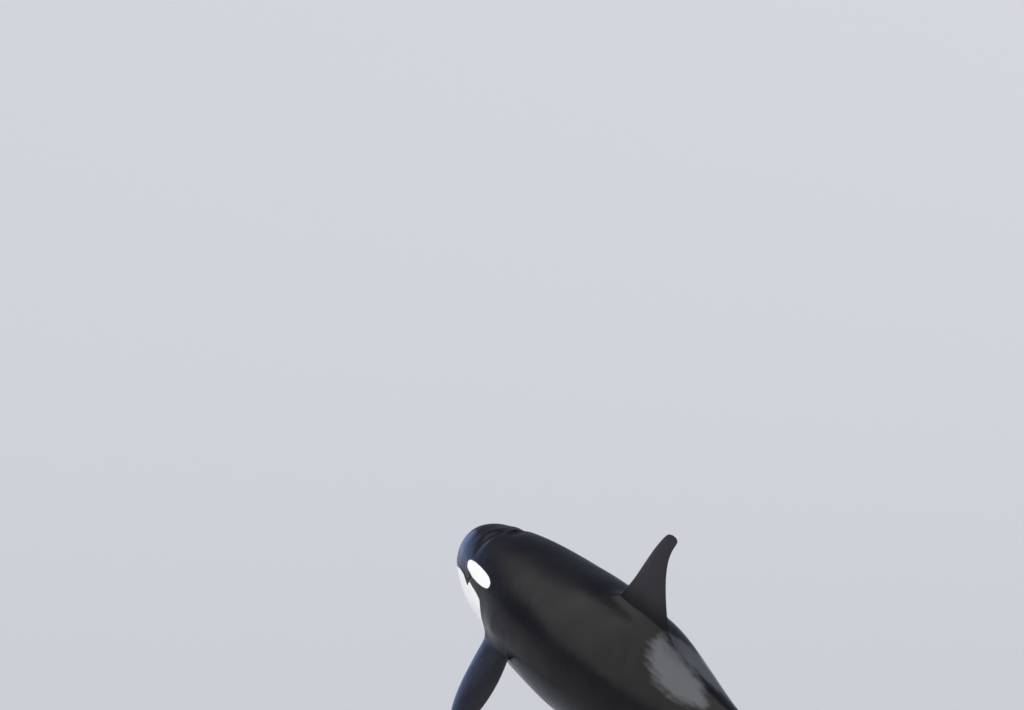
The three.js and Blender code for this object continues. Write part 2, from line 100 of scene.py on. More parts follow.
def spine(s):
    """How far behind and above the pivot the axis is at s, and how steep it is there."""
    turn = (TAIL_PITCH - PITCH) / (BEND_TO - BEND_FROM)
    straight = np.minimum(s, BEND_FROM) - PIVOT_AT
    bent = np.clip(s, BEND_FROM, BEND_TO) - BEND_FROM
    beyond = np.maximum(s - BEND_TO, 0)
    pitch = PITCH + turn * bent
    back = straight * math.cos(PITCH) + (np.sin(pitch) - math.sin(PITCH)) / turn
    rise = -straight * math.sin(PITCH) + (np.cos(pitch) - math.cos(PITCH)) / turn
    return back + beyond * np.cos(pitch), rise - beyond * np.sin(pitch), pitch


def pose(points):
    """The points of the straight animal, (s, y, z) in rows, moved to where they are shown."""
    s, y, z = np.asarray(points, float).T
    back, rise, pitch = spine(s)
    rear = back + z * np.sin(pitch)
    high = rise + z * np.cos(pitch)
    left = y * math.cos(BANK) + high * math.sin(BANK)
    up = high * math.cos(BANK) - y * math.sin(BANK)
    return np.stack([PIVOT.x + left, PIVOT.y + rear, PIVOT.z + up], axis=1)

# %% [markdown]
# The camera comes next, so that every later piece can be looked at from the right place. The
# picture was taken from far away with a long lens, from behind the animal's left side. A long
# lens keeps near and far parts the same size, so the lens and the distance here are long too.
# The camera could be placed by eye. Here three measures of the picture place it: where the
# pivot of the animal is, how many pixels a metre takes, and how high the horizon stands.

# %% Camera
PHOTO_WIDTH = 1024
PHOTO_HEIGHT = 710
PIVOT_PIXEL = (617.8, 668.0)
HORIZON_PIXEL = 367.0
PIXELS_PER_METRE = 117.9
CAMERA_DISTANCE = 100.0
CAMERA_SIDE = math.radians(60.5)
SENSOR = 36.0
NEAREST, FARTHEST = 1.0, 1000.0


def make_camera():
    focal = PIXELS_PER_METRE * CAMERA_DISTANCE
    towards = Vector((math.cos(CAMERA_SIDE), math.sin(CAMERA_SIDE), 0))
    height = (PIVOT_PIXEL[1] - HORIZON_PIXEL) / PIXELS_PER_METRE
    data = bpy.data.cameras.new("camera")
    data.sensor_width = SENSOR
    data.lens = focal / PHOTO_WIDTH * SENSOR
    data.clip_start, data.clip_end = NEAREST, FARTHEST
    camera = bpy.data.objects.new("camera", data)
    scene.collection.objects.link(camera)
    camera.location = PIVOT + towards * CAMERA_DISTANCE + Vector((0, 0, height))
    aside = math.atan((PIVOT_PIXEL[0] - PHOTO_WIDTH / 2) / focal)
    upward = math.atan((HORIZON_PIXEL - PHOTO_HEIGHT / 2) / focal)
    heading = math.pi / 2 + CAMERA_SIDE
    camera.rotation_euler = (math.pi / 2 + upward, 0, heading + aside)
    scene.camera = camera
    print("camera at", [round(v, 2) for v in camera.location], "lens", round(data.lens, 1))


make_camera()

# %% [markdown]
# The body is a loft through cross sections, as a hull is drawn. Each row of the table is one
# cut across the animal: where it is, how high the back and how low the belly are, half the
# width, the height of the widest point, and how round the upper and lower halves are. Two is an
# ellipse, less is more like a keel. A loft was chosen over sculpting because every height and
# width stays a number that can be checked against the real animal.

# %% Body sections
BODY_END = 5.88
SECTIONS = np.array([
    # s, back, belly, half, centre, above, below
    (0.00, 0.016, -0.016, 0.032, 0.000, 2.00, 2.00),
    (0.02, 0.088, -0.056, 0.086, 0.000, 2.00, 2.00),
    (0.06, 0.158, -0.100, 0.138, 0.004, 2.05, 2.03),
    (0.12, 0.243, -0.146, 0.182, 0.008, 2.10, 2.06),
    (0.22, 0.334, -0.212, 0.238, 0.010, 2.20, 2.12),
    (0.35, 0.397, -0.290, 0.291, 0.004, 2.23, 2.18),
    (0.50, 0.437, -0.358, 0.338, 0.000, 2.25, 2.22),
    (0.95, 0.531, -0.452, 0.450, 0.022, 2.10, 2.12),
    (1.60, 0.590, -0.557, 0.562, 0.001, 2.02, 2.10),
    (2.30, 0.640, -0.615, 0.595, 0.000, 1.95, 2.10),
    (2.90, 0.637, -0.598, 0.555, 0.001, 1.89, 2.10),
    (3.60, 0.533, -0.482, 0.429, 0.010, 1.82, 2.02),
    (4.40, 0.365, -0.328, 0.255, 0.010, 1.68, 1.82),
    (5.10, 0.242, -0.221, 0.134, 0.010, 1.51, 1.61),
    (5.60, 0.146, -0.127, 0.076, 0.010, 1.54, 1.62),
    (BODY_END, 0.040, -0.035, 0.035, 0.005, 2.00, 2.00),
    (5.985, 0.006, -0.004, 0.012, 0.001, 2.00, 2.00),
])
widest = SECTIONS[SECTIONS[:, 3].argmax()]
print("the body is widest at s =", widest[0], "where it is", 2 * widest[3], "m wide")

# %% [markdown]
# The columns of the table are joined by curves that never overshoot, so the body has no bumps
# between two cuts. They are measured against the square root of s, which makes the snout blunt
# and round. From them come the few questions that every later step asks about the body.

# %% Measures of the body
FIELD_STEP = 0.001


def smooth_curve(xs, ys):
    """A function through the points (xs, ys) that is smooth and never overshoots them."""
    xs, ys = np.asarray(xs, float), np.asarray(ys, float)
    slope = np.diff(ys) / np.diff(xs)
    tangent = np.concatenate([slope[:1], np.zeros(len(xs) - 2), slope[-1:]])
    same = slope[:-1] * slope[1:] > 0
    inner = 2 / (1 / np.where(same, slope[:-1], 1) + 1 / np.where(same, slope[1:], 1))
    tangent[1:-1] = np.where(same, inner, 0)

    def value(x):
        x = np.asarray(x, float)
        i = np.clip(np.searchsorted(xs, x, side="right") - 1, 0, len(xs) - 2)
        step = xs[i + 1] - xs[i]
        t = np.clip((x - xs[i]) / step, 0, 1)
        u = 1 - t
        start = u * u * (1 + 2 * t) * ys[i] + t * u * u * step * tangent[i]
        return start + t * t * (3 - 2 * t) * ys[i + 1] - t * t * u * step * tangent[i + 1]

    return value


section_curves = [smooth_curve(np.sqrt(SECTIONS[:, 0]), SECTIONS[:, k]) for k in range(1, 7)]


def section(s):
    """Centre height, reach up, reach down, half width and the two roundnesses at s."""
    back, belly, half, centre, above, below = (c(np.sqrt(np.maximum(s, 0))) for c in section_curves)
    return centre, back - centre, centre - belly, half, above, below


def side_at(s, z):
    """How far out the side of the body is at s and height z."""
    centre, up, down, half, above, below = section(s)
    rise = z - centre
    power = np.where(rise >= 0, above, below)
    part = np.minimum(np.abs(rise) / np.where(rise >= 0, up, down), 1)
    return half * (1 - part**power) ** (1 / power)


def field(points):
    """Less than one inside the body, one on its skin, more than one outside."""
    s, y, z = np.asarray(points, float).T
    centre, up, down, half, above, below = section(s)
    rise = z - centre
    power = np.where(rise >= 0, above, below)
    reach = np.where(rise >= 0, up, down)
    return np.abs(y / half) ** power + np.abs(rise / reach) ** power


def outward(points):
    """The directions straight out of the skin at points of the body, in rows."""
    points = np.atleast_2d(points)
    shifts = FIELD_STEP * np.eye(3)
    gradient = np.stack([field(points + d) - field(points - d) for d in shifts], axis=1)
    return gradient / np.maximum(np.linalg.norm(gradient, axis=1), 1e-9)[:, None]


print("girth at the flippers:", round(math.pi * (section(1.6)[3] + section(1.6)[1]), 2), "m")

# %% [markdown]
# The mouth is closed, so it is a line: from the snout it runs back almost level, rises a
# little and drops at its corner just below the eye. It could be painted or cut in, but the lips
# are a soft fold that catches the light, so one row of the skin's points runs along this line.

# %% Mouth line
MOUTH_CORNER = 0.650
MOUTH_LINE = [
    (0, -0.012), (0.150, 0.008), (0.340, 0.042), (0.450, 0.058),
    (0.545, 0.056), (0.620, 0.028), (0.680, -0.012),
]
mouth_curve = smooth_curve(*zip(*MOUTH_LINE))
print("the mouth is", round(MOUTH_CORNER, 2), "m long")

# %% [markdown]
# The skin starts as a cage, a coarse net of four-sided faces that is rounded off later. Its
# rings stand across the body. An even net would need ten times the points to draw an eye, so
# the rings are close on the head and wide on the plain flanks, and the openings for the fins
# begin and end exactly on a ring.

# %% Rings of the cage
EYE_AT = 0.675
EYE_HEIGHT = 0.094
HEAD_STEP = 0.028
SNOUT_RINGS = 22
SNOUT_CROWDING = 1.55
FLIPPER_FROM, FLIPPER_TO = 1.060, 1.720
DORSAL_FROM, DORSAL_TO = 2.420, 3.420
FLUKE_FROM, FLUKE_TO = 5.300, 5.970


def ring_places():
    """Where the rings of the cage are: close together on the head, wider on the body."""
    head_from, head_to = EYE_AT - 2 * HEAD_STEP, EYE_AT + 4 * HEAD_STEP
    snout = head_from * (np.arange(1, SNOUT_RINGS + 1) / SNOUT_RINGS) ** SNOUT_CROWDING
    stops = [
        head_from, head_to, FLIPPER_FROM, FLIPPER_TO, DORSAL_FROM, DORSAL_TO,
        FLUKE_FROM, BODY_END, FLUKE_TO,
    ]
    steps = [6, 5, 10, 7, 11, 15, 8, 2]
    stretches = [np.linspace(a, b, n + 1)[1:] for a, b, n in zip(stops, stops[1:], steps)]
    return np.concatenate([snout, *stretches])


RINGS = ring_places()
print("rings of the cage:", len(RINGS))

# %% [markdown]
# The rows run along the body, in 24 steps on each side from the top of the back to the middle
# of the belly. Row 12 follows the mouth and then the middle of the side. The rows beside it crowd
# together at the lips, spread round the eye, and go over to even steps on the body. Row 16 and
# its neighbours bend to the root of the flipper. Each change is a slow blend along s, because a
# sudden one would show as a dent in the finished skin.

# %% Rows of the cage
ROWS = 24
COLUMNS = 2 * ROWS
MOUTH_ROW = 12
SIDE_HEIGHT = 0.003
LIP_GAPS = np.array([0.008, 0.028, 0.062, 0.105, 0.150])
FULL_HALF_ROUND = 0.85
DORSAL_ROW_GAP = 0.085
FLIPPER_LINE = [(FLIPPER_FROM, -0.276), (FLIPPER_TO, -0.196)]
FLIPPER_ROW_GAP = 0.062
FLUKE_ROOT_PART = 0.30
FLUKE_ROOT_GAPS = np.array([1.0, 1.35, 1.7, 2.0, 2.3])
# stretches of s over which the rows go from one layout to the next
TO_EYE_ROWS = (0.50, 0.61)
TO_BODY_ROWS = (0.74, 1.12)
TO_FLIPPER_ROWS, FROM_FLIPPER_ROWS = (0.90, 1.06), (1.74, 2.10)
TO_DORSAL_ROWS, FROM_DORSAL_ROWS = (2.20, 2.50), (3.40, 3.80)
TO_FLUKE_ROWS = (4.90, 5.30)


def ease(low, high, value):
    """Zero below low, one above high, and a smooth step between them."""
    t = np.clip((value - low) / (high - low), 0, 1)
    return t * t * (3 - 2 * t)


def blend(first, second, part):
    """The first value where part is zero, the second where it is one."""
    return (1 - part) * first + part * second


def side_gaps(s, middle, whole, half_round):
    """How far five rows above the middle row and three rows below it lie from it."""
    lips = min(1, whole / FULL_HALF_ROUND) * LIP_GAPS
    round_eye = middle - half_round(EYE_HEIGHT) + HEAD_STEP * np.arange(-2, 3)
    above = blend(lips, round_eye, ease(*TO_EYE_ROWS, s))
    on_body = ease(*TO_BODY_ROWS, s)
    above = blend(above, middle / MOUTH_ROW * np.arange(1, 6), on_body)
    below = blend(lips[:3], (whole - middle) / (ROWS - MOUTH_ROW) * np.arange(1, 4), on_body)
    root = FLUKE_ROOT_PART * min(middle, whole - middle) * ease(*TO_FLUKE_ROWS, s) * FLUKE_ROOT_GAPS
    return np.maximum(above, root), np.maximum(below, root[:3])


def row_distances(s, half_round):
    """How far round from the top of the back each row lies on the ring at s."""
    mouth_height = mouth_curve(min(s, MOUTH_LINE[-1][0]))
    middle = half_round(blend(mouth_height, SIDE_HEIGHT, ease(*TO_BODY_ROWS, s)))
    whole = half_round(None)
    above, below = side_gaps(s, middle, whole, half_round)
    at_dorsal = ease(*TO_DORSAL_ROWS, s) * (1 - ease(*FROM_DORSAL_ROWS, s))
    first = blend((middle - above[-1]) / 7, DORSAL_ROW_GAP, at_dorsal)
    rows = [0, 1, *range(7, 16), ROWS]
    places = [0, first, *(middle - above[::-1]), middle, *(middle + below), whole]
    even = smooth_curve(rows, places)(np.arange(ROWS + 1))
    at_flipper = ease(*TO_FLIPPER_ROWS, s) * (1 - ease(*FROM_FLIPPER_ROWS, s))
    if at_flipper == 0:
        return even
    line = half_round(float(np.interp(s, *zip(*FLIPPER_LINE))))
    flipper = line + FLIPPER_ROW_GAP * np.arange(-1, 2)
    rows = [*range(13), 15, 16, 17, ROWS]
    places = [*even[:13], *blend(even[15:18], flipper, at_flipper), whole]
    return smooth_curve(rows, places)(np.arange(ROWS + 1))


# %% Points of the cage
FINE_STEPS = 1440


def ring_points(s):
    """The points of the ring at s, from the top down the left side and up the right."""
    centre, up, down, half, above, below = (float(v) for v in section(s))
    angle = np.linspace(0, math.pi, FINE_STEPS + 1)
    c, e = np.cos(angle), np.sin(angle)
    power = np.where(c >= 0, 2 / above, 2 / below)
    y = half * np.abs(e) ** power
    z = centre + np.where(c >= 0, up, down) * np.sign(c) * np.abs(c) ** power
    run = np.concatenate([[0], np.cumsum(np.hypot(np.diff(y), np.diff(z)))])

    def half_round(height):
        return run[-1] if height is None else float(np.interp(-height, -z, run))

    places = row_distances(s, half_round)
    left_y, left_z = np.interp(places, run, y), np.interp(places, run, z)
    left_y[0] = left_y[-1] = 0
    ys = np.concatenate([left_y, -left_y[-2:0:-1]])
    zs = np.concatenate([left_z, left_z[-2:0:-1]])
    return np.stack([np.full(len(ys), s), ys, zs], axis=1)


body_grid = np.array([ring_points(s) for s in RINGS])
print("cage of the body:", body_grid.shape[0], "rings of", body_grid.shape[1], "points")

# %% [markdown]
# The fins are broad, thin foils: round in front, thickest about a third of the way back and
# thin behind. The dorsal fin is the low, swept fin of a female, the flippers are round paddles,
# and the flukes meet at a notch. Their outlines could be traced with many points. Here a front
# edge and a rear edge, each a smooth curve with four control points, hold a whole outline.

# %% Fin outlines
# dorsal fin: s and height; flipper and fluke: out from the root and back along the body
DORSAL = {
    "front": [(2.250, 0.520), (2.683, 0.648), (2.803, 1.095), (3.156, 1.462)],
    "rear": [(3.400, 0.520), (3.301, 0.827), (3.098, 1.197), (3.347, 1.460)],
    "cap": 0.066, "thick": 0.125, "flare": 0.9, "rings": 11,
}
FLIPPER = {
    "front": [(0, -0.175), (0.380, -0.265), (0.800, -0.325), (1.045, -0.160)],
    "rear": [(0, 0.200), (0.350, 0.320), (0.830, 0.390), (1.095, 0.175)],
    "cap": 0.112, "thick": 0.15, "flare": 0.35, "rings": 11,
}
FLUKE = {
    "front": [(0, 5.190), (0.150, 5.440), (0.520, 5.560), (0.836, 5.975)],
    "rear": [(0, 5.985), (0.150, 6.110), (0.500, 5.950), (0.842, 6.040)],
    "cap": 0.010, "thick": 0.105, "flare": 0.55, "rings": 10,
}


def bezier(points, t):
    """The place at t along a smooth curve with four control points."""
    u = 1 - t
    return np.array([u**3, 3 * u * u * t, 3 * u * t * t, t**3]) @ np.asarray(points, float)


for name, shape in (("dorsal fin", DORSAL), ("flipper", FLIPPER), ("fluke", FLUKE)):
    width = np.linalg.norm(bezier(shape["rear"], 0.5) - bezier(shape["front"], 0.5))
    print(name, "is", round(float(width), 2), "m wide half way out")

# %% [markdown]
# Each fin lies on a plane of its own. The dorsal fin's plane is upright, the flipper's leans
# out, back and down and is turned a little about its own length, and the flukes are nearly
# level with tips that rise. A small function for each turns a place on that plane, and a height
# off it, into the straight animal.

# %% Planes of the fins
FLIPPER_ROOT = (1.330, -0.255)
FLIPPER_INWARD = 0.190
FLIPPER_LEAN = (0.61, 0.66, -0.44)
FLIPPER_TWIST = math.radians(18)
FLUKE_TIP_RISE = 0.045
FLUKE_HEIGHT = 0.005
print("the flipper's root is at s and height", FLIPPER_ROOT)


def unit(vector):
    return np.asarray(vector, float) / np.linalg.norm(vector)


def place_dorsal(plane, off):
    return np.array([plane[0], off, plane[1]])


def place_flipper(side):
    """Turns a place on the flipper's plane and a height off it into the straight animal."""
    along = unit([FLIPPER_LEAN[0], side * FLIPPER_LEAN[1], FLIPPER_LEAN[2]])
    rearward = unit(np.array([1, 0, 0]) - along * along[0])
    upper = -side * np.cross(rearward, along)
    chord = rearward * math.cos(FLIPPER_TWIST) - upper * math.sin(FLIPPER_TWIST)
    normal = upper * math.cos(FLIPPER_TWIST) + rearward * math.sin(FLIPPER_TWIST)
    s, z = FLIPPER_ROOT
    root = np.array([s, side * side_at(s, z), z]) - along * FLIPPER_INWARD
    return lambda plane, off: root + along * plane[0] + chord * plane[1] + normal * off


def place_fluke(side):
    reach = FLUKE["rear"][3][0]

    def place(plane, off):
        rise = FLUKE_TIP_RISE * (max(plane[0], 0) / reach) ** 2
        return np.array([plane[1], side * plane[0], FLUKE_HEIGHT + rise + off])

    return place

# %% [markdown]
# A fin's section is the classic foil of a wing or a keel, with a thin rounded edge added behind
# so that the skin can turn round it. Near the body the foil swells, as the muscle at its root
# does. The first ring of a fin sits a little outside the body, and the tip is closed by three
# more rings that get smaller along a quarter of a circle.

# %% Rings of a fin
ROOT_CLEARANCE = 0.035
ROOT_SWELL_ENDS = 1 / 3.2
RING_CROWDING = 1.15
TIP_ANGLES = [math.radians(a) for a in (28, 53, 74)]


def fin_section(part):
    """Half the thickness of a fin section, as a part of its thickness, along its chord."""
    foil = 1.4845 * np.sqrt(part) - 0.63 * part - 1.758 * part**2 + 1.4215 * part**3 - 0.518 * part**4
    edge = 0.14 * np.sqrt(np.maximum(4 * part * (1 - part), 0))
    return foil + edge


def on_fin(shape, t, c):
    """The place on the fin's plane at t out along it and c across it, and its half thickness."""
    front, rear = bezier(shape["front"], t), bezier(shape["rear"], t)
    swell = shape["flare"] * max(1 - t / ROOT_SWELL_ENDS, 0) ** 2
    thick = shape["thick"] * np.linalg.norm(rear - front) * (1 + swell)
    return front + (rear - front) * c, thick / 2 * fin_section(c)


def leaves_body(shape, place, c):
    """How far out along the fin the line at c across it comes out of the body."""
    inside = [t for t in np.linspace(0, 1, 161) if field([place(on_fin(shape, t, c)[0], 0)])[0] < 1]
    return max(inside) if inside else 0.0


def fin_lines(shape, place, across):
    """Lines across a fin from its front to its rear, from the root out to the rounded tip."""
    starts = np.array([leaves_body(shape, place, c) for c in across]) + ROOT_CLEARANCE
    lines = []
    for part in np.linspace(0, 1, shape["rings"]) ** RING_CROWDING:
        lines.append([on_fin(shape, t, c) for t, c in zip(starts + (1 - starts) * part, across)])
    last = lines[-1]
    rear, middle = last[-1][0], (last[0][0] + last[-1][0]) / 2
    onward = unit(middle - (lines[-2][0][0] + lines[-2][-1][0]) / 2)
    for angle in TIP_ANGLES:
        shifted = middle + onward * shape["cap"] * math.sin(angle)
        half = (rear - middle) * math.cos(angle)
        smaller = [shifted - half + 2 * half * c for c in across]
        lines.append([(plane, off * math.cos(angle)) for plane, (_, off) in zip(smaller, last)])
    return lines


def fin_rings(shape, place, parts):
    """The rings of a fin outside the body. A ring is the front point, the points of one face
    from front to rear, the rear point, and the other face from rear to front."""
    rings = []
    for line in fin_lines(shape, place, np.array([0, *parts, 1])):
        one_face = [place(plane, off) for plane, off in line[1:-1]]
        other_face = [place(plane, -off) for plane, off in reversed(line[1:-1])]
        rings.append(np.array([place(line[0][0], 0), *one_face, place(line[-1][0], 0), *other_face]))
    return rings


for name, shape, place in (
    ("dorsal fin", DORSAL, place_dorsal),
    ("flipper", FLIPPER, place_flipper(1)),
    ("fluke", FLUKE, place_fluke(1)),
):
    starts = [place(on_fin(shape, leaves_body(shape, place, c), c)[0], 0) for c in (0, 1)]
    print(name, "leaves the body from", np.round(starts[0], 3), "to", np.round(starts[1], 3))

# %% [markdown]
# Now the cage becomes a mesh. The body is a tube of four-sided faces. Where a fin, an eye or
# the blowhole goes, a block of faces is left out, and the feature grows from the edge of that
# opening, with the same number of points in each of its rings. Separate fins could be joined
# by a Boolean instead, but that leaves a hard seam. Four-sided faces all over let a subdivision
# turn the cage into smooth skin, with a soft fillet at the root of each fin.

# %% The cage as a mesh
class Cage:
    """Points and faces of the straight animal, gathered piece by piece."""

    def __init__(self):
        self.points = []
        self.fluke_places = []
        self.faces = []
        self.creases = {}

    def add(self, points, fluke_places=None):
        first = len(self.points)
        self.points += [tuple(p) for p in points]
        self.fluke_places += list(fluke_places or [(0, 0, 0)] * len(points))
        return list(range(first, first + len(points)))

    def bridge(self, ring, other):
        """Faces between two closed rings of the same number of points."""
        for k in range(len(ring)):
            n = (k + 1) % len(ring)
            self.faces.append((ring[k], ring[n], other[n], other[k]))

    def close_flat(self, ring):
        """Closes a ring whose first and middle points are its two ends."""
        count = len(ring)
        for k in range(1, count // 2 - 1):
            self.faces.append((ring[k], ring[k + 1], ring[count - k - 1], ring[count - k]))
        self.faces.append((ring[0], ring[1], ring[count - 1]))
        middle = count // 2
        self.faces.append((ring[middle - 1], ring[middle], ring[middle + 1]))

    def crease(self, line, sharpness, closed=False):
        pairs = list(zip(line, line[1:] + line[:1])) if closed else list(zip(line, line[1:]))
        for a, b in pairs:
            self.creases[(min(a, b), max(a, b))] = sharpness


cage = Cage()
body_index = np.array([cage.add(ring) for ring in body_grid])
print("points of the body's tube:", len(cage.points))


# %% Openings in the body
def index_of_ring(s):
    return int(np.argmin(np.abs(RINGS - s)))


def block(first, last, row_from, row_to):
    """A block of the body's faces, by its rings and its rows."""
    return {"rings": (index_of_ring(first), index_of_ring(last)), "rows": (row_from, row_to)}


def mirrored(opening):
    low, high = opening["rows"]
    return {"rings": opening["rings"], "rows": (COLUMNS - high, COLUMNS - low)}


DORSAL_BLOCK = block(DORSAL_FROM, DORSAL_TO, -1, 1)
FLIPPER_BLOCK = block(FLIPPER_FROM, FLIPPER_TO, 15, 17)
FLUKE_BLOCK = block(FLUKE_FROM, FLUKE_TO, MOUTH_ROW - 1, MOUTH_ROW + 1)
EYE_BLOCK = block(EYE_AT - 2 * HEAD_STEP, EYE_AT + 2 * HEAD_STEP, 7, 11)
BLOWHOLE_BLOCK = block(EYE_AT - HEAD_STEP, EYE_AT + 3 * HEAD_STEP, -2, 2)
OPENINGS = [
    DORSAL_BLOCK, BLOWHOLE_BLOCK, FLIPPER_BLOCK, mirrored(FLIPPER_BLOCK),
    FLUKE_BLOCK, mirrored(FLUKE_BLOCK), EYE_BLOCK, mirrored(EYE_BLOCK),
]


def opened(ring, row):
    """Whether the face after this ring and row is left out."""
    for opening in OPENINGS:
        low, high = opening["rows"]
        in_rows = low <= row < high or low <= row - COLUMNS < high
        if in_rows and opening["rings"][0] <= ring < opening["rings"][1]:
            return True
    return False


for ring in range(len(RINGS) - 1):
    for row in range(COLUMNS):
        if not opened(ring, row):
            across = (row + 1) % COLUMNS
            cage.faces.append((
                body_index[ring, row], body_index[ring, across],
                body_index[ring + 1, across], body_index[ring + 1, row],
            ))
print("faces of the body's tube:", len(cage.faces))

# %% [markdown]
# The snout and the very end of the tail are the two open ends of the tube. A fan of triangles
# would close them, but it would pinch the tip. Here the left and right sides are joined by
# level strips instead, so that the line of the mouth can run round the tip of the nose.

# %% Snout and tail end
SNOUT_TIP = 0.0
TAIL_TIP = 5.978
TIP_FLATNESS = 0.8


def close_end(ring, tip):
    """Joins the left and right sides of an end ring by strips of three faces each."""
    points = np.array(cage.points)[ring]
    lines = []
    for row in range(1, ROWS):
        left, right = points[row], points[COLUMNS - row]
        inner = []
        for part in (1 / 3, 2 / 3):
            point = left + (right - left) * part
            point[0] += (tip - point[0]) * TIP_FLATNESS
            inner.append(point)
        lines.append([ring[row], *cage.add(inner), ring[COLUMNS - row]])
    for upper, lower in zip(lines, lines[1:]):
        for k in range(3):
            cage.faces.append((upper[k], upper[k + 1], lower[k + 1], lower[k]))
    for row, line in ((0, lines[0]), (ROWS, lines[-1])):
        for k in range(3):
            cage.faces.append((ring[row], line[k], line[k + 1]))
    return lines


snout_lines = close_end(list(body_index[0]), SNOUT_TIP)
close_end(list(body_index[-1]), TAIL_TIP)
print("faces with both ends closed:", len(cage.faces))

# %% [markdown]
# A fin grows out of its opening. Its first ring sits a little outside the body, and the faces
# between the opening and that ring become the fillet at its root. On the flukes each point also
# keeps its place on the fin, because their undersides are painted later.

# %% Growing the fins
def opening_ring(opening):
    """The points round an opening: the middle of its front, its first side from front to
    rear, the middle of its rear, and its other side from rear to front."""
    (first, last), (low, high) = opening["rings"], opening["rows"]
    middle = (low + high) // 2
    one = [body_index[k, low % COLUMNS] for k in range(first, last + 1)]
    other = [body_index[k, high % COLUMNS] for k in range(last, first - 1, -1)]
    front = body_index[first, middle % COLUMNS]
    rear = body_index[last, middle % COLUMNS]
    return [front, *one, rear, *other]


def chord_parts(count):
    """Places across a fin, closer together towards its two edges."""
    even = np.arange(1, count + 1) / (count + 1)
    return blend((1 - np.cos(math.pi * even)) / 2, even, 0.4)


def grow_fin(opening, shape, place):
    """Adds a fin to the cage, ring by ring, from the edge of its opening to its tip."""
    edge = opening_ring(opening)
    count = (len(edge) - 2) // 2
    parts = chord_parts(count)
    rings = fin_rings(shape, place, parts)
    across = np.array([0, *parts, 1, *parts[::-1]])
    face = np.array([0, *[1] * count, 0, *[-1] * count])
    points = np.array(cage.points)[edge]
    swapped = [0, *range(len(edge) - 1, 0, -1)]
    as_made, as_swapped = (np.linalg.norm(points - r, axis=1).sum() for r in (rings[0], rings[0][swapped]))
    if as_swapped < as_made:
        rings = [ring[swapped] for ring in rings]
        across, face = across[swapped], face[swapped]
    before = edge
    for number, ring in enumerate(rings):
        out = (number + 1) / len(rings)
        places = [(out, c, f) for c, f in zip(across, face)] if shape is FLUKE else None
        made = cage.add(ring, places)
        cage.bridge(before, made)
        before = made
    cage.close_flat(before)


grow_fin(DORSAL_BLOCK, DORSAL, place_dorsal)
for side, flipper_block, fluke_block in (
    (1, FLIPPER_BLOCK, FLUKE_BLOCK),
    (-1, mirrored(FLIPPER_BLOCK), mirrored(FLUKE_BLOCK)),
):
    grow_fin(flipper_block, FLIPPER, place_flipper(side))
    grow_fin(fluke_block, FLUKE, place_fluke(side))
print("points in the cage so far:", len(cage.points), "faces:", len(cage.faces))

# %% [markdown]
# An orca's eye is small for the size of its head and sits low, just above and behind the
# corner of the mouth. Two thick lids stand a little out of the skin round it, with a soft
# crease outside them. The lids could be separate shells laid on the head, but then a line would
# show round them, so they are rings of the same skin, each a little closer to the eyeball.

# %% Where the eye sits
EYE_RADIUS = 0.030
EYE_SUNK = 0.021
SKIN_SEARCH = 0.12


def drop_to_skin(point, direction):
    """Moves a point along a direction until it lies on the skin of the body."""
    low, high = -SKIN_SEARCH, SKIN_SEARCH
    for _ in range(40):
        middle = (low + high) / 2
        if field([point + direction * middle])[0] < 1:
            low = middle
        else:
            high = middle
    return point + direction * (low + high) / 2


EYE_POINT = np.array([EYE_AT, float(side_at(EYE_AT, EYE_HEIGHT)), EYE_HEIGHT])
EYE_OUT = outward(EYE_POINT)[0]
EYE_ALONG = unit(np.array([1, 0, 0]) - EYE_OUT * EYE_OUT[0])
EYE_UP = unit(np.cross(EYE_OUT, EYE_ALONG) * (1 if np.cross(EYE_OUT, EYE_ALONG)[2] > 0 else -1))
EYE_MIDDLE = EYE_POINT - EYE_OUT * EYE_SUNK
print("the middle of the left eye, straight:", np.round(EYE_MIDDLE, 4))


def eyeball_height(along, up):
    """How far the eyeball stands out of the skin's plane at a place beside its middle."""
    inside = np.maximum(EYE_RADIUS**2 - along**2 - up**2, 0)
    return math.sqrt(inside) - EYE_SUNK


# %% Eyelids and eye sockets
SOCKET_DEPTH = 0.012
# half length, half height, how far out, how much the ring follows the eyeball
LID_RINGS = [
    (0.048, 0.038, 0.0000, 0.0),
    (0.041, 0.030, -0.0050, 0.0),
    (0.036, 0.024, 0.0035, 0.0),
    (0.030, 0.018, 0.0065, 0.3),
    (0.0245, 0.0125, 0.0035, 1.0),
    (0.0235, 0.0115, 0.0005, 1.0),
    (0.0225, 0.0108, -0.0060, 1.0),
]


def eye_edge(opening):
    """The points round the opening of an eye, in order."""
    (first, last), (low, high) = opening["rings"], opening["rows"]
    ahead = [body_index[first, r % COLUMNS] for r in range(low, high)]
    under = [body_index[k, high % COLUMNS] for k in range(first, last)]
    behind = [body_index[last, r % COLUMNS] for r in range(high, low, -1)]
    over = [body_index[k, low % COLUMNS] for k in range(last, first, -1)]
    return ahead + under + behind + over


def lid_point(angle, half_long, half_high, out, follow):
    """A point of a lid's ring, on the left side of the head."""
    along, up = half_long * math.cos(angle), half_high * math.sin(angle)
    flat = EYE_POINT + EYE_ALONG * along + EYE_UP * up
    ball = flat + EYE_OUT * eyeball_height(along, up)
    return blend(drop_to_skin(flat, EYE_OUT), ball, follow) + EYE_OUT * out


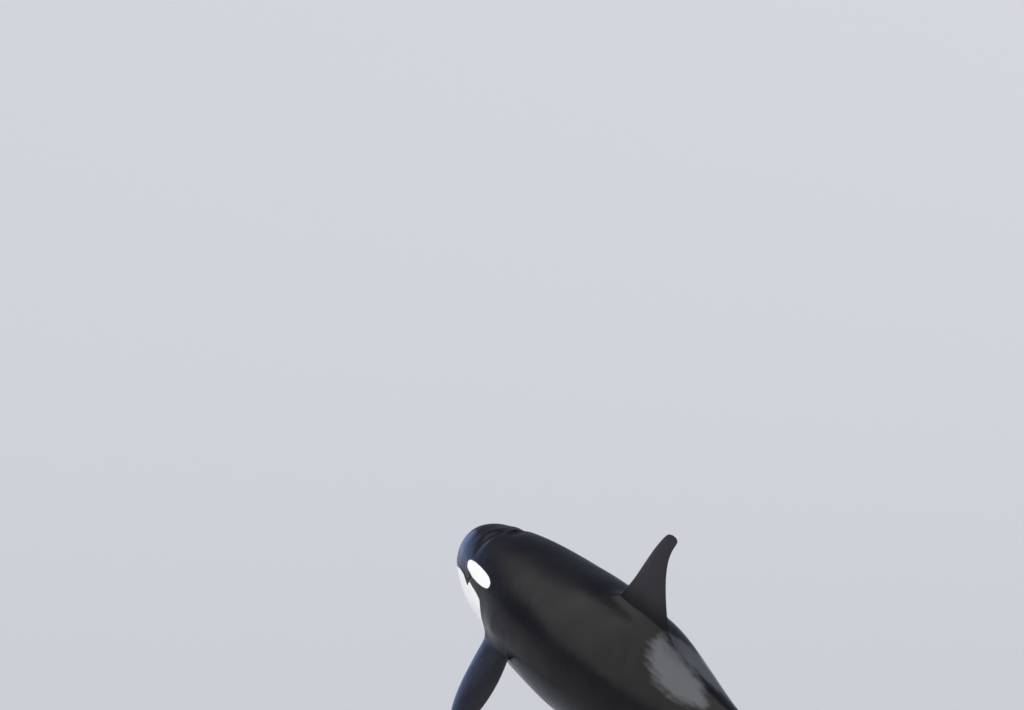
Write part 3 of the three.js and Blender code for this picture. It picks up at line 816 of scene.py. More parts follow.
def make_eye_opening(opening, side):
    """Grows the lids and the socket of one eye out of its opening."""
    before = eye_edge(opening)
    mirror = np.array([1, side, 1])
    local = np.array(cage.points)[before] * mirror - EYE_POINT
    angles = np.arctan2(local @ EYE_UP, local @ EYE_ALONG)
    for lid in LID_RINGS:
        made = cage.add([lid_point(angle, *lid) * mirror for angle in angles])
        cage.bridge(before, made)
        before = made
    centre = cage.add([(EYE_POINT - EYE_OUT * SOCKET_DEPTH) * mirror])[0]
    for k in range(0, len(before), 2):
        n, m = (k + 1) % len(before), (k + 2) % len(before)
        cage.faces.append((before[k], before[n], before[m], centre))


make_eye_opening(EYE_BLOCK, 1)
make_eye_opening(mirrored(EYE_BLOCK), -1)
print("points with the lids:", len(cage.points))

# %% [markdown]
# The blowhole is one slit on top of the head, curved with its two ends forward. It is shut
# between breaths: a soft cushion in front meets a firm lip behind. A dark line in the paint
# would look flat from above, so its rings go from an oval rim down to the curved slit, which
# closes a little below the surface.

# %% Blowhole
BLOWHOLE_AT = 0.730
BLOWHOLE_ASIDE = 0.010
SLIT_RADIUS = 0.056
SLIT_SWEEP = math.radians(66)
RIM_AHEAD = 0.017


def slit_outline(wide):
    """Sixteen places round the slit: an end, the front lip, the other end, the rear lip."""
    angles = np.linspace(SLIT_SWEEP, -SLIT_SWEEP, 9)
    widths = wide * np.cos(angles / SLIT_SWEEP * math.pi / 2) ** 0.7
    widths[[0, -1]] = 0
    start = np.array([BLOWHOLE_AT - SLIT_RADIUS, BLOWHOLE_ASIDE])
    directions = np.stack([np.cos(angles), np.sin(angles)], axis=1)
    front = start + directions * (SLIT_RADIUS - widths)[:, None]
    rear = start + directions * (SLIT_RADIUS + widths)[:, None]
    return np.concatenate([front, rear[-2:0:-1]])


def oval_outline(long, wide):
    """Sixteen places on an oval round the slit, in the same order."""
    middle = np.array([BLOWHOLE_AT - RIM_AHEAD, BLOWHOLE_ASIDE])
    around = np.linspace(0, 2 * math.pi, 17)[:-1]
    return middle + np.stack([-long * np.sin(around), wide * np.cos(around)], axis=1)


def top_of_body(s, y):
    """The height of the skin over a place near the middle line."""
    centre, up, _, half, above, _ = section(s)
    return centre + up * (1 - min(abs(y / half), 1) ** above) ** (1 / above)


# outline, how far it stands above the skin
SLIT_RINGS = [
    (oval_outline(0.044, 0.084), 0.000),
    (blend(oval_outline(0.037, 0.070), slit_outline(0.022), 0.4), 0.004),
    (blend(slit_outline(0.013), oval_outline(0.030, 0.060), 0.15), 0.007),
    (slit_outline(0.0040), 0.001),
    (slit_outline(0.0022), -0.008),
    (slit_outline(0.0016), -0.016),
]


def make_blowhole(opening):
    """Grows the rim and the slit out of the opening on top of the head."""
    (first, last), (low, high) = opening["rings"], opening["rows"]
    middle = (first + last) // 2
    left_end = [body_index[middle, high % COLUMNS]]
    left_front = [body_index[k, high % COLUMNS] for k in range(middle - 1, first - 1, -1)]
    front = [body_index[first, r % COLUMNS] for r in range(high - 1, low - 1, -1)]
    right = [body_index[k, low % COLUMNS] for k in range(first + 1, last + 1)]
    rear = [body_index[last, r % COLUMNS] for r in range(low + 1, high + 1)]
    left_rear = [body_index[k, high % COLUMNS] for k in range(last - 1, middle, -1)]
    before = left_end + left_front + front + right + rear + left_rear
    for outline, out in SLIT_RINGS:
        made = cage.add([(s, y, top_of_body(s, y) + out) for s, y in outline])
        cage.bridge(before, made)
        before = made
    cage.close_flat(before)


make_blowhole(BLOWHOLE_BLOCK)
print("points in the whole cage:", len(cage.points), "faces:", len(cage.faces))

# %% [markdown]
# Now the line of the mouth sinks into the skin, and the lips swell a little on both sides of
# it. A crease along the line tells the subdivision to keep it crisp. The fold fades away at the
# corner of the mouth, as the real one does.

# %% Mouth fold
MOUTH_SINK = -0.009
LIP_SWELL = 0.004
NOSE_SINK = 0.003
MOUTH_CREASE = 0.9


def fold_mouth():
    """Sinks the mouth line into the skin and lets the lips swell a little beside it."""
    points = np.array(cage.points)
    for ring, s in enumerate(RINGS):
        fade = float((1 - ease(MOUTH_CORNER - 0.03, MOUTH_CORNER + 0.05, s)) * ease(-0.03, 0.06, s))
        if fade <= 0:
            continue
        for step, out in ((0, MOUTH_SINK), (-1, LIP_SWELL), (1, LIP_SWELL)):
            for column in (MOUTH_ROW + step, COLUMNS - MOUTH_ROW - step):
                index = body_index[ring, column]
                points[index] += outward(points[index])[0] * out * fade
    nose = snout_lines[MOUTH_ROW - 1][1:3]
    points[nose, 0] += NOSE_SINK
    cage.points = [tuple(p) for p in points]
    last = index_of_ring(MOUTH_CORNER)
    left = [body_index[k, MOUTH_ROW] for k in range(last, -1, -1)]
    right = [body_index[k, COLUMNS - MOUTH_ROW] for k in range(last + 1)]
    cage.crease(left + nose + right, MOUTH_CREASE)
    return len(left) + len(nose) + len(right)


print("points on the mouth line:", fold_mouth())

# %% [markdown]
# The cage becomes a mesh and is turned into smooth skin by two rounds of subdivision. A denser
# cage could do without them, but it would have to be smooth by itself. Every point's place on
# the straight animal is stored on the mesh, because the markings are painted by those places,
# and only after that the points move into the pose.

# %% Keeping measures on a mesh
def coordinates(mesh):
    flat = np.empty(len(mesh.vertices) * 3, np.float32)
    mesh.vertices.foreach_get("co", flat)
    return flat.reshape(-1, 3).astype(float)


def keep_on_mesh(mesh, name, vectors):
    """Stores one vector for each point of the mesh, for the materials to read."""
    layer = mesh.attributes.new(name, "FLOAT_VECTOR", "POINT")
    layer.data.foreach_set("vector", vectors.astype(np.float32).ravel())


def kept_on_mesh(mesh, name):
    flat = np.empty(len(mesh.vertices) * 3, np.float32)
    mesh.attributes[name].data.foreach_get("vector", flat)
    return flat.reshape(-1, 3).astype(float)


# %% Skin mesh
ROUNDS = 2


def cage_to_mesh(name):
    """The cage as a Blender mesh, with its creases and its places on the flukes."""
    mesh = bpy.data.meshes.new(name)
    mesh.from_pydata(cage.points, [], [tuple(int(v) for v in f) for f in cage.faces])
    mesh.validate()
    keep_on_mesh(mesh, "fluke_place", np.array(cage.fluke_places))
    work = bmesh.new()
    work.from_mesh(mesh)
    layer = work.edges.layers.float.new("crease_edge")
    for edge in work.edges:
        ends = tuple(sorted(v.index for v in edge.verts))
        edge[layer] = cage.creases.get(ends, 0)
    bmesh.ops.delete(work, geom=[v for v in work.verts if not v.link_faces], context="VERTS")
    bmesh.ops.recalc_face_normals(work, faces=work.faces)
    open_edges = sum(1 for e in work.edges if len(e.link_faces) != 2)
    work.to_mesh(mesh)
    work.free()
    print(name, "faces:", len(mesh.polygons), "open edges:", open_edges)
    return mesh


def subdivided(name, mesh):
    """A smooth copy of a mesh, with its subdivision applied."""
    raw = bpy.data.objects.new(name + "_cage", mesh)
    scene.collection.objects.link(raw)
    modifier = raw.modifiers.new("subdivision", "SUBSURF")
    modifier.levels = modifier.render_levels = ROUNDS
    bpy.context.view_layer.update()
    graph = bpy.context.evaluated_depsgraph_get()
    smooth = bpy.data.meshes.new_from_object(raw.evaluated_get(graph))
    smooth.name = name
    bpy.data.objects.remove(raw)
    bpy.data.meshes.remove(mesh)
    smooth.shade_smooth()
    return smooth


skin_mesh = subdivided("orca_skin", cage_to_mesh("orca_skin_cage"))

# %% [markdown]
# The loft and the cage give the large form. An animal also has soft swellings and hollows:
# the melon ends in a valley that holds the blowhole and runs down both sides of the head,
# there is a fullness over the flippers, a fold under each side of the throat, a navel, a slit
# behind it, and a long furrow between the upper and lower muscles of the tail. They could be
# pushed in by hand with a sculpting brush. Here each one is a line over the skin with a width
# and a height, and the skin near that line moves a few millimetres in or out.

# %% Soft forms
# below this value of the field a point belongs to the body, above it to a fin
ON_BODY = 1.25
# half width, and for points on the line: s, degrees from the top of the back, how far out
SOFT_FORMS = {
    "hollow behind the blowhole": (0.050, [(0.805, 0, -0.008), (0.800, 8, -0.008), (0.770, 14, 0)]),
    "valley beside the blowhole": (0.048, [
        (0.735, 7, -0.004), (0.690, 11, -0.010), (0.640, 16, -0.013), (0.632, 22, -0.012),
        (0.636, 30, -0.008), (0.640, 40, -0.004), (0.645, 54, 0),
    ]),
    "rear of the melon": (0.050, [
        (0.600, 0, 0.004), (0.540, 15, 0.004), (0.525, 28, 0.002), (0.520, 40, 0),
    ]),
    "brow over the eye": (0.030, [(0.600, 64, 0), (0.680, 64, 0.004), (0.780, 67, 0)]),
    "fold behind the mouth": (0.028, [(0.665, 93, 0), (0.720, 97, -0.006), (0.800, 103, 0)]),
    "throat fold": (0.022, [
        (0.450, 148, 0), (0.600, 151, -0.006), (0.850, 156, -0.006), (1.000, 160, 0),
    ]),
    "fullness over the flipper": (0.120, [(1.150, 96, 0), (1.350, 97, 0.012), (1.650, 99, 0)]),
    "navel": (0.035, [(2.740, 180, -0.011), (2.800, 180, -0.011)]),
    "slit behind the navel": (0.030, [
        (3.600, 180, 0), (3.680, 180, -0.010), (3.920, 180, -0.010), (4.000, 180, 0),
    ]),
    "furrow along the tail": (0.055, [
        (3.700, 68, 0), (4.300, 73, -0.007), (4.900, 79, -0.006), (5.200, 84, 0),
    ]),
}
STEPS_PER_POINT = 12


def soft_shift(points, wide, line):
    """How far out of the skin one soft form moves each point."""
    s, y, z = points.T
    degrees = np.degrees(np.arctan2(np.abs(y), z))
    reach = np.hypot(y, z)
    parts = np.linspace(0, len(line) - 1, STEPS_PER_POINT * len(line))
    columns = [np.interp(parts, range(len(line)), column) for column in zip(*line)]
    nearest = np.full(len(points), np.inf)
    height = np.zeros(len(points))
    for at, angle, out in zip(*columns):
        away = np.hypot(s - at, np.radians(degrees - angle) * reach)
        closer = away < nearest
        nearest[closer], height[closer] = away[closer], out
    return height * np.exp(-((nearest / wide) ** 2))


def with_soft_forms(points):
    """The points of the skin, moved in or out by all the soft forms together."""
    body = field(points) < ON_BODY
    shift = np.zeros(len(points))
    for name, (wide, line) in SOFT_FORMS.items():
        one = soft_shift(points, wide, line) * body
        shift += one
        print(name, "moves the skin by up to", round(1000 * float(np.abs(one).max()), 1), "mm")
    moved = points.copy()
    near = np.abs(shift) > 1e-5
    moved[near] += outward(points[near]) * shift[near, None]
    return moved


# %% Skin in its pose
straight = coordinates(skin_mesh)
keep_on_mesh(skin_mesh, "straight_place", straight)
posed = pose(with_soft_forms(straight))
skin_mesh.vertices.foreach_set("co", posed.astype(np.float32).ravel())
skin_mesh.update()
skin = bpy.data.objects.new("orca_skin", skin_mesh)
scene.collection.objects.link(skin)
skin_mesh.calc_loop_triangles()
print("skin:", len(skin_mesh.vertices), "points,", len(skin_mesh.loop_triangles), "triangles")

# %% [markdown]
# The frame has the animal as nine solids, from head to flukes. On the real animal they are one
# skin, so this one mesh takes the place of all nine, and rides on the body that they belong to.

# %% Put the skin on the frame
FLESH = [
    "head", "lower_jaw", "torso", "tail_stock", "dorsal_fin",
    "flipper_left", "flipper_right", "fluke_left", "fluke_right",
]
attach(skin, "root")
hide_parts(*FLESH)
print("one skin takes the place of", len(FLESH), "solids")

# %% [markdown]
# Small helpers for the materials: one turns a colour written in sRGB hex into the linear
# numbers that Blender works with, and one adds a node with its settings and its links.

# %% Material helpers
def linear(hex_colour, alpha=1.0):
    """A colour written as sRGB hex, such as "1a1c20", as linear numbers."""
    values = [int(hex_colour[k : k + 2], 16) / 255 for k in (0, 2, 4)]
    values = [v / 12.92 if v <= 0.04045 else ((v + 0.055) / 1.055) ** 2.4 for v in values]
    return (*values, alpha)


def new_material(name):
    material = bpy.data.materials.new(name)
    material.use_nodes = True
    material.node_tree.nodes.clear()
    return material, material.node_tree


def add(tree, kind, settings=None, inputs=None):
    """A new node. An input is a plain value, or the output of another node to link."""
    node = tree.nodes.new(kind)
    for key, value in (settings or {}).items():
        setattr(node, key, value)
    for key, value in (inputs or {}).items():
        if isinstance(value, bpy.types.NodeSocket):
            tree.links.new(value, node.inputs[key])
        else:
            node.inputs[key].default_value = value
    return node


print("mid grey 808080 is", round(linear("808080")[0], 3), "in linear numbers")

# %% [markdown]
# The markings are what everyone knows an orca by: a white patch behind each eye, a white chin
# and throat that narrow between the flippers, a white belly that forks into three behind the
# navel, white under the flukes, and a grey saddle behind the dorsal fin. For every point of
# the skin we work out how deep inside each marking it lies, in metres, below zero outside.
# The material then paints from these depths. A painted picture wrapped round the body would do
# it too, but its pixels would show up close, and here an edge stays as sharp as we like.

# %% Distance inside an outline
def signed_distance(points, outline):
    """How far inside a closed outline each point lies; below zero means outside."""
    nearest = np.full(len(points), 1e9)
    inside = np.zeros(len(points), bool)
    for a, b in zip(outline, np.roll(outline, -1, axis=0)):
        edge, offset = b - a, points - a
        along = np.clip(offset @ edge / (edge @ edge), 0, 1)
        nearest = np.minimum(nearest, np.hypot(*(offset - along[:, None] * edge).T))
        crosses = (a[1] > points[:, 1]) != (b[1] > points[:, 1])
        rise = np.where(crosses, (points[:, 1] - a[1]) / (edge[1] if edge[1] else 1), 0)
        inside ^= crosses & (points[:, 0] < a[0] + rise * edge[0])
    return np.where(inside, nearest, -nearest)


def rounded(outline, rounds):
    """A closed outline with its corners cut off again and again, until it is smooth."""
    outline = np.asarray(outline, float)
    for _ in range(rounds):
        ahead = np.roll(outline, -1, axis=0)
        pairs = np.stack([0.75 * outline + 0.25 * ahead, 0.25 * outline + 0.75 * ahead], axis=1)
        outline = pairs.reshape(-1, 2)
    return outline


# %% Eye patch
PATCH = {"middle": (0.855, 0.194), "long": 0.298, "high": 0.062, "tilt": math.radians(5), "power": 2.4}
PATCH_POINTS = 120
FAR_OUTSIDE = -1.0


def depth_inside(outline, across, up, near):
    """How deep inside an outline the near points lie; all others count as far outside."""
    depth = np.full(len(near), FAR_OUTSIDE)
    depth[near] = signed_distance(np.stack([across[near], up[near]], axis=1), outline)
    return depth


def eye_patch_depth(s, y, z):
    """The patch is an oval with rather full corners, seen from the side."""
    around = np.linspace(0, 2 * math.pi, PATCH_POINTS + 1)[:-1]
    c, e = (np.sign(v) * np.abs(v) ** (2 / PATCH["power"]) for v in (np.cos(around), np.sin(around)))
    along, up = PATCH["long"] * c, PATCH["high"] * e
    c, e = math.cos(PATCH["tilt"]), math.sin(PATCH["tilt"])
    outline = np.stack([along * c - up * e, along * e + up * c], axis=1) + PATCH["middle"]
    return depth_inside(outline, s, z, near=(s < 1.4) & (np.abs(y) > 0.12))


print("the eye patch is", 2 * PATCH["long"], "m long and", 2 * PATCH["high"], "m high")


# %% White of the chin, belly and flukes
# s and height of the edge of the white on the side of the head
WHITE_EDGE_ON_HEAD = [
    (0.05, -0.050), (0.10, -0.046), (0.165, -0.036), (0.300, 0.008), (0.408, 0.036), (0.501, 0.042),
    (0.570, 0.028), (0.620, 0.012), (0.654, 0.000), (0.686, 0.038), (0.720, 0.056), (0.780, 0.052),
    (0.905, 0.044), (1.008, 0.023),
]
# the snout is too blunt for angles, so up to here the paint goes by height alone
CHIN_ENDS = (0.20, 0.40)
# s, and the angle in degrees from the middle of the belly up to the edge of the white
WHITE_EDGE_BEHIND = [
    (1.040, 84), (1.065, 68), (1.100, 54), (1.160, 42), (1.300, 34), (1.600, 28), (2.000, 22), (2.400, 21),
    (2.800, 24), (3.100, 30), (3.400, 27), (3.800, 19), (4.200, 13), (4.500, 6), (4.620, -4),
]
# the outer forks of the white behind the navel, between an upper and a lower edge
LOBE_FROM, LOBE_TO = 2.75, 4.36
LOBE_TOP = [(2.75, 12), (2.95, 34), (3.15, 50), (3.40, 63), (3.70, 73), (4.00, 80), (4.25, 84), (4.40, 82)]
LOBE_FOOT = [(2.75, 0), (3.30, 10), (3.50, 28), (3.75, 50), (4.00, 67), (4.25, 80), (4.40, 88)]
# the white under a fluke, as parts of its length, of its width, and of the turn to its underside
FLUKE_WHITE_OUT = (0.14, 0.88)
FLUKE_WHITE_ACROSS = (0.13, 0.86)
FLUKE_WHITE_FACE = -0.3
# how many metres one whole part stands for: length, width, and face to face
FLUKE_METRES = (0.6, 0.5, 0.1)


def belly_depth(s, y, z):
    """The chin and the middle of the belly, joined with the forks on its two sides."""
    edge = [(a, math.degrees(math.atan2(float(side_at(a, h)), -h))) for a, h in WHITE_EDGE_ON_HEAD]
    edge = [*edge, *WHITE_EDGE_BEHIND]
    angle = np.degrees(np.arctan2(np.abs(y), -z))
    reach = np.hypot(y, z)
    central = np.radians(smooth_curve(*zip(*edge))(s) - angle) * reach
    chin = smooth_curve(*zip(*WHITE_EDGE_ON_HEAD))(s) - z
    behind_chin = ease(*CHIN_ENDS, s)
    central = blend(chin, central, behind_chin)
    top = np.radians(smooth_curve(*zip(*LOBE_TOP))(s) - angle) * reach
    foot = np.radians(angle - smooth_curve(*zip(*LOBE_FOOT))(s)) * reach
    lobe = np.minimum.reduce([top, foot, s - LOBE_FROM, LOBE_TO - s])
    return np.maximum(central, lobe)


def fluke_depth(places):
    """The white of the flukes keeps clear of their edges, their tips and the tail stock."""
    out, across, face = places.T
    long, wide, thick = FLUKE_METRES
    return np.minimum.reduce([
        (across - FLUKE_WHITE_ACROSS[0]) * wide, (FLUKE_WHITE_ACROSS[1] - across) * wide,
        (out - FLUKE_WHITE_OUT[0]) * long, (FLUKE_WHITE_OUT[1] - out) * long,
        (FLUKE_WHITE_FACE - face) * thick,
    ])


# %% Grey saddle
# s, and the angle in degrees from the top of the back; it crosses the top behind the fin
SADDLE_OUTLINE = [
    (3.22, 3), (3.28, 19), (3.46, 34), (3.72, 44), (4.00, 44), (4.24, 34), (4.36, 20), (4.20, 6),
    (4.00, -4), (3.60, -8), (3.38, -6),
]
SADDLE_REACH = 0.45


def saddle_depth(s, y, z):
    """The outline is drawn on the back as if it were unrolled flat."""
    arc = np.arctan2(np.abs(y), z) * SADDLE_REACH
    outline = rounded([(a, math.radians(d) * SADDLE_REACH) for a, d in SADDLE_OUTLINE], 3)
    return depth_inside(outline, s, arc, near=(s > 2.9) & (s < 4.7))


saddle_ends = [s for s, _ in SADDLE_OUTLINE]
print("the saddle is", round(max(saddle_ends) - min(saddle_ends), 2), "m long")


# %% All the markings on the mesh
def inner_skin(points):
    """One inside the blowhole and on the inner edge of the lids, zero on the outer skin."""
    s, y, z = points.T
    top = np.array([top_of_body(*pair) for pair in zip(s, y)])
    near_hole = (np.hypot(s - BLOWHOLE_AT, y) < 0.11) & (z > 0.3)
    hole = np.where(near_hole, ease(0.012, 0.020, top - z), 0)
    from_eye = np.linalg.norm(np.stack([s, np.abs(y), z], axis=1) - EYE_MIDDLE, axis=1)
    return np.maximum(hole, 1 - ease(EYE_RADIUS + 0.001, EYE_RADIUS + 0.004, from_eye))


def paint_depths(points, fluke_places):
    """For each point: depth inside the white, depth inside the saddle, and the inner skin."""
    s, y, z = points.T
    body = field(points) < ON_BODY
    white = np.maximum(eye_patch_depth(s, y, z), belly_depth(s, y, z))
    white = np.where(body, white, -0.05)
    white = np.maximum(white, fluke_depth(fluke_places))
    saddle = np.where(body, saddle_depth(s, y, z), -0.5)
    return np.stack([white, saddle, inner_skin(points)], axis=1)


depths = paint_depths(straight, kept_on_mesh(skin_mesh, "fluke_place"))
keep_on_mesh(skin_mesh, "paint_depth", depths)
print("part of the skin that is white:", round(float((depths[:, 0] > 0).mean()), 3))

# %% [markdown]
# Orca skin is smooth and rubbery, like a peeled hard-boiled egg, and here it is wet. A wet
# surface has a low index of refraction, so the black reflects only two parts in a hundred head
# on and much more at a glancing angle, which draws the pale rims along its outline. A plain
# black would do from far away, but up close the black is never even: it is mottled in clouds,
# and high on the dorsal fin it turns to a slightly paler black, set by height alone. We start
# with the white and the black, each from two colours and one noise.

# %% Black and white skin
SKIN_BLACK = "0a0a0e"
SKIN_BLACK_WORN = "171519"
# the paler black used high on the dorsal fin, chosen by height alone
SKIN_BLACK_FIN_TOP = "28272b"
SKIN_WHITE = "f4f4f1"
SKIN_WHITE_SHADED = "e4e6e5"
MOTTLE_SIZE = 0.220
FIN_PALER_FROM, FIN_PALER_ABOVE = 0.66, 0.92
MARKING_EDGE = 0.004
MARKING_WAVER = 0.0025
WAVER_SIZE = 0.060


def inside_white(tree, place, depth):
    """One in the white markings, zero outside, with an edge 8 mm wide that wavers a little."""
    waver = add(tree, "ShaderNodeTexNoise", inputs={"Vector": place, "Scale": 1 / WAVER_SIZE, "Detail": 2.0})
    waver = add(tree, "ShaderNodeMapRange", inputs={
        "Value": waver.outputs["Fac"], "From Min": 0.25, "From Max": 0.75,
        "To Min": -MARKING_WAVER, "To Max": MARKING_WAVER,
    })
    white = add(tree, "ShaderNodeMath", {"operation": "ADD"}, {0: depth, 1: waver.outputs[0]})
    white = add(tree, "ShaderNodeMapRange", {"interpolation_type": "SMOOTHSTEP"}, {
        "Value": white.outputs[0], "From Min": -MARKING_EDGE, "From Max": MARKING_EDGE,
    })
    return white.outputs[0]


def black_skin(tree, place, mottle):
    """The black, mottled all over and paler towards the top of the dorsal fin."""
    wet = add(tree, "ShaderNodeMix", {"data_type": "RGBA"}, {
        "Factor": mottle, "A": linear(SKIN_BLACK), "B": linear(SKIN_BLACK_WORN),
    })
    height = add(tree, "ShaderNodeSeparateXYZ", inputs={0: place})
    # the black turns paler from 0.66 m to 0.92 m above the axis, which is high on the dorsal fin
    paler_high = add(tree, "ShaderNodeMapRange", {"interpolation_type": "SMOOTHSTEP"}, {
        "Value": height.outputs["Z"], "From Min": FIN_PALER_FROM, "From Max": FIN_PALER_ABOVE,
    })
    black = add(tree, "ShaderNodeMix", {"data_type": "RGBA"}, {
        "Factor": paler_high.outputs[0], "A": wet.outputs["Result"], "B": linear(SKIN_BLACK_FIN_TOP),
    })
    return black.outputs["Result"]

# %% [markdown]
# The grey of the saddle isn't a clean patch. It is brushed out in streaks along the body, so
# its edge is moved in and out by a noise that is stretched 450 mm along and 35 mm across.

# %% Saddle streaks
SADDLE_GREY = "6a6d72"
STREAK_LENGTH = 0.450
STREAK_WIDTH = 0.035
STREAK_REACH = 0.16
SADDLE_STRENGTH = 0.62


def inside_saddle(tree, place, depth):
    """How strong the grey of the saddle is, with streaks along its edge."""
    stretched = add(tree, "ShaderNodeMapping", inputs={
        "Vector": place, "Scale": (1 / STREAK_LENGTH, 1 / STREAK_WIDTH, 1 / STREAK_WIDTH),
    })
    streaks = add(tree, "ShaderNodeTexNoise", inputs={
        "Vector": stretched.outputs[0], "Scale": 1.0, "Detail": 4.0,
    })
    edge = add(tree, "ShaderNodeMath", {"operation": "MULTIPLY_ADD"}, {
        0: streaks.outputs["Fac"], 1: STREAK_REACH, 2: depth,
    })
    saddle = add(tree, "ShaderNodeMapRange", {"interpolation_type": "SMOOTHSTEP"}, {
        "Value": edge.outputs[0], "From Min": 0.07, "From Max": 0.19, "To Max": SADDLE_STRENGTH,
    })
    return saddle.outputs[0]

# %% [markdown]
# Orcas rake each other with their teeth in play, which leaves short rows of thin parallel
# lines, paler than the black. The lines are as far apart as the teeth, 24 mm, and come in sets
# up to 160 mm wide and 550 mm long. A wave texture draws the lines, and a noise stretched in
# their direction shows them only here and there.

# %% Rake marks
RAKE_GREY = "3e3e42"
RAKE_SPACING = 0.024
RAKE_WIDTH = 0.160
RAKE_LENGTH = 0.550
RAKE_TURN = (0.5, 0.35, 0.6)
RAKE_STRENGTH = 0.40
# at a scale of one, the waves of the wave texture are this far apart
WAVE_LENGTH = 0.314


def rake_marks(tree, place):
    """Short rows of thin parallel scratches, only here and there."""
    turned = add(tree, "ShaderNodeMapping", inputs={"Vector": place, "Rotation": RAKE_TURN})
    lines = add(tree, "ShaderNodeTexWave", {"wave_profile": "SIN"}, {
        "Vector": turned.outputs[0], "Scale": WAVE_LENGTH / RAKE_SPACING, "Distortion": 3.0,
        "Detail": 0.0, "Detail Scale": 0.25,
    })
    lines = add(tree, "ShaderNodeMapRange", inputs={
        "Value": lines.outputs["Fac"], "From Min": 0.93, "From Max": 1.0, "To Max": 1.0,
    })
    long = add(tree, "ShaderNodeMapping", inputs={
        "Vector": turned.outputs[0], "Scale": (1 / RAKE_WIDTH, 1 / RAKE_LENGTH, 1 / RAKE_LENGTH),
    })
    sets = add(tree, "ShaderNodeTexNoise", inputs={"Vector": long.outputs[0], "Scale": 1.0, "Detail": 1.0})
    sets = add(tree, "ShaderNodeMapRange", inputs={
        "Value": sets.outputs["Fac"], "From Min": 0.62, "From Max": 0.74, "To Max": RAKE_STRENGTH,
    })
    both = add(tree, "ShaderNodeMath", {"operation": "MULTIPLY"}, {0: lines.outputs[0], 1: sets.outputs[0]})
    return both.outputs[0]


# %% Colour of the skin
INNER_SKIN = "241a1c"


def skin_colour(tree, place, depth):
    """Black skin, then saddle, rake marks, white and the inner skin, each over the last."""
    depths = add(tree, "ShaderNodeSeparateXYZ", inputs={0: depth}).outputs
    mottle = add(tree, "ShaderNodeTexNoise", inputs={
        "Vector": place, "Scale": 1 / MOTTLE_SIZE, "Detail": 6.0,
    }).outputs["Fac"]
    pale = add(tree, "ShaderNodeMix", {"data_type": "RGBA"}, {
        "Factor": mottle, "A": linear(SKIN_WHITE), "B": linear(SKIN_WHITE_SHADED),
    })
    colour = black_skin(tree, place, mottle)
    for part, over in (
        (inside_saddle(tree, place, depths["Y"]), linear(SADDLE_GREY)),
        (rake_marks(tree, place), linear(RAKE_GREY)),
        (inside_white(tree, place, depths["X"]), pale.outputs["Result"]),
        (depths["Z"], linear(INNER_SKIN)),
    ):
        layer = add(tree, "ShaderNodeMix", {"data_type": "RGBA"}, {"Factor": part, "A": colour, "B": over})
        colour = layer.outputs["Result"]
    return colour

# %% [markdown]
# The surface of the skin is never quite level: there are soft dents about 130 mm across, and
# fine ridges that a hand would feel. The real ridges are about 1 mm apart. Here they are drawn
# 12 mm apart, so that they show. The film of wet is uneven too, so the roughness varies slowly.
# Both are bumps and numbers in the material, because as real shape they would need millions of
# faces. The reflection has a bit less than half its full strength. At full strength the broad
# daylight showed as a pale band with a hard border along the flank.

# %% Orca skin
DENT_SIZE = 0.130
DENT_DEPTH = 0.006
RIDGE_SIZE = 0.012
RIDGE_DEPTH = 0.0008
WET_FILM_SIZE = 0.400
ROUGHNESS = (0.22, 0.34)
WET_IOR = 1.33
REFLECTION_LEVEL = 0.22


def skin_bump(tree, place):
    """Soft dents, with the finest ridges that still show on top of them."""
    normal = None
    for size, detail, strength, height in (
        (DENT_SIZE, 3.0, 0.35, DENT_DEPTH), (RIDGE_SIZE, 2.0, 0.25, RIDGE_DEPTH),
    ):
        noise = add(tree, "ShaderNodeTexNoise", inputs={"Vector": place, "Scale": 1 / size, "Detail": detail})
        below = {"Normal": normal} if normal else {}
        bump = add(tree, "ShaderNodeBump", inputs={
            "Height": noise.outputs["Fac"], "Strength": strength, "Distance": height, **below,
        })
        normal = bump.outputs[0]
    return normal


def skin_material():
    material, tree = new_material("wet_orca_skin")
    place = add(tree, "ShaderNodeAttribute", {"attribute_name": "straight_place"}).outputs["Vector"]
    depth = add(tree, "ShaderNodeAttribute", {"attribute_name": "paint_depth"}).outputs["Vector"]
    film = add(tree, "ShaderNodeTexNoise", inputs={
        "Vector": place, "Scale": 1 / WET_FILM_SIZE, "Detail": 4.0,
    })
    roughness = add(tree, "ShaderNodeMapRange", inputs={
        "Value": film.outputs["Fac"], "From Min": 0.3, "From Max": 0.7,
        "To Min": ROUGHNESS[0], "To Max": ROUGHNESS[1],
    })
    surface = add(tree, "ShaderNodeBsdfPrincipled", inputs={
        "Base Color": skin_colour(tree, place, depth),
        "Roughness": roughness.outputs[0],
        "IOR": WET_IOR,
        "Specular IOR Level": REFLECTION_LEVEL,
        "Normal": skin_bump(tree, place),
    })
    add(tree, "ShaderNodeOutputMaterial", inputs={"Surface": surface.outputs["BSDF"]})
    return material


skin_mesh.materials.clear()
skin_mesh.materials.append(skin_material())
print("the skin is painted with", skin_mesh.materials[0].name)

# %% [markdown]
# The eyeball is a real ball in its socket, and its clear front stands out a little further. An
# orca's iris is dark brown with faint spokes, and its pupil is wide and low, like a bean. A
# black bead would be simpler, but it would look dead up close. The colours are chosen by the
# direction from the middle of the ball, which is stored on the mesh, so they turn with the eye.

# %% Eyeballs
CLEAR_FRONT_FROM = 0.88
CLEAR_FRONT_RISE = 0.0010
LID_GAP = 0.0006


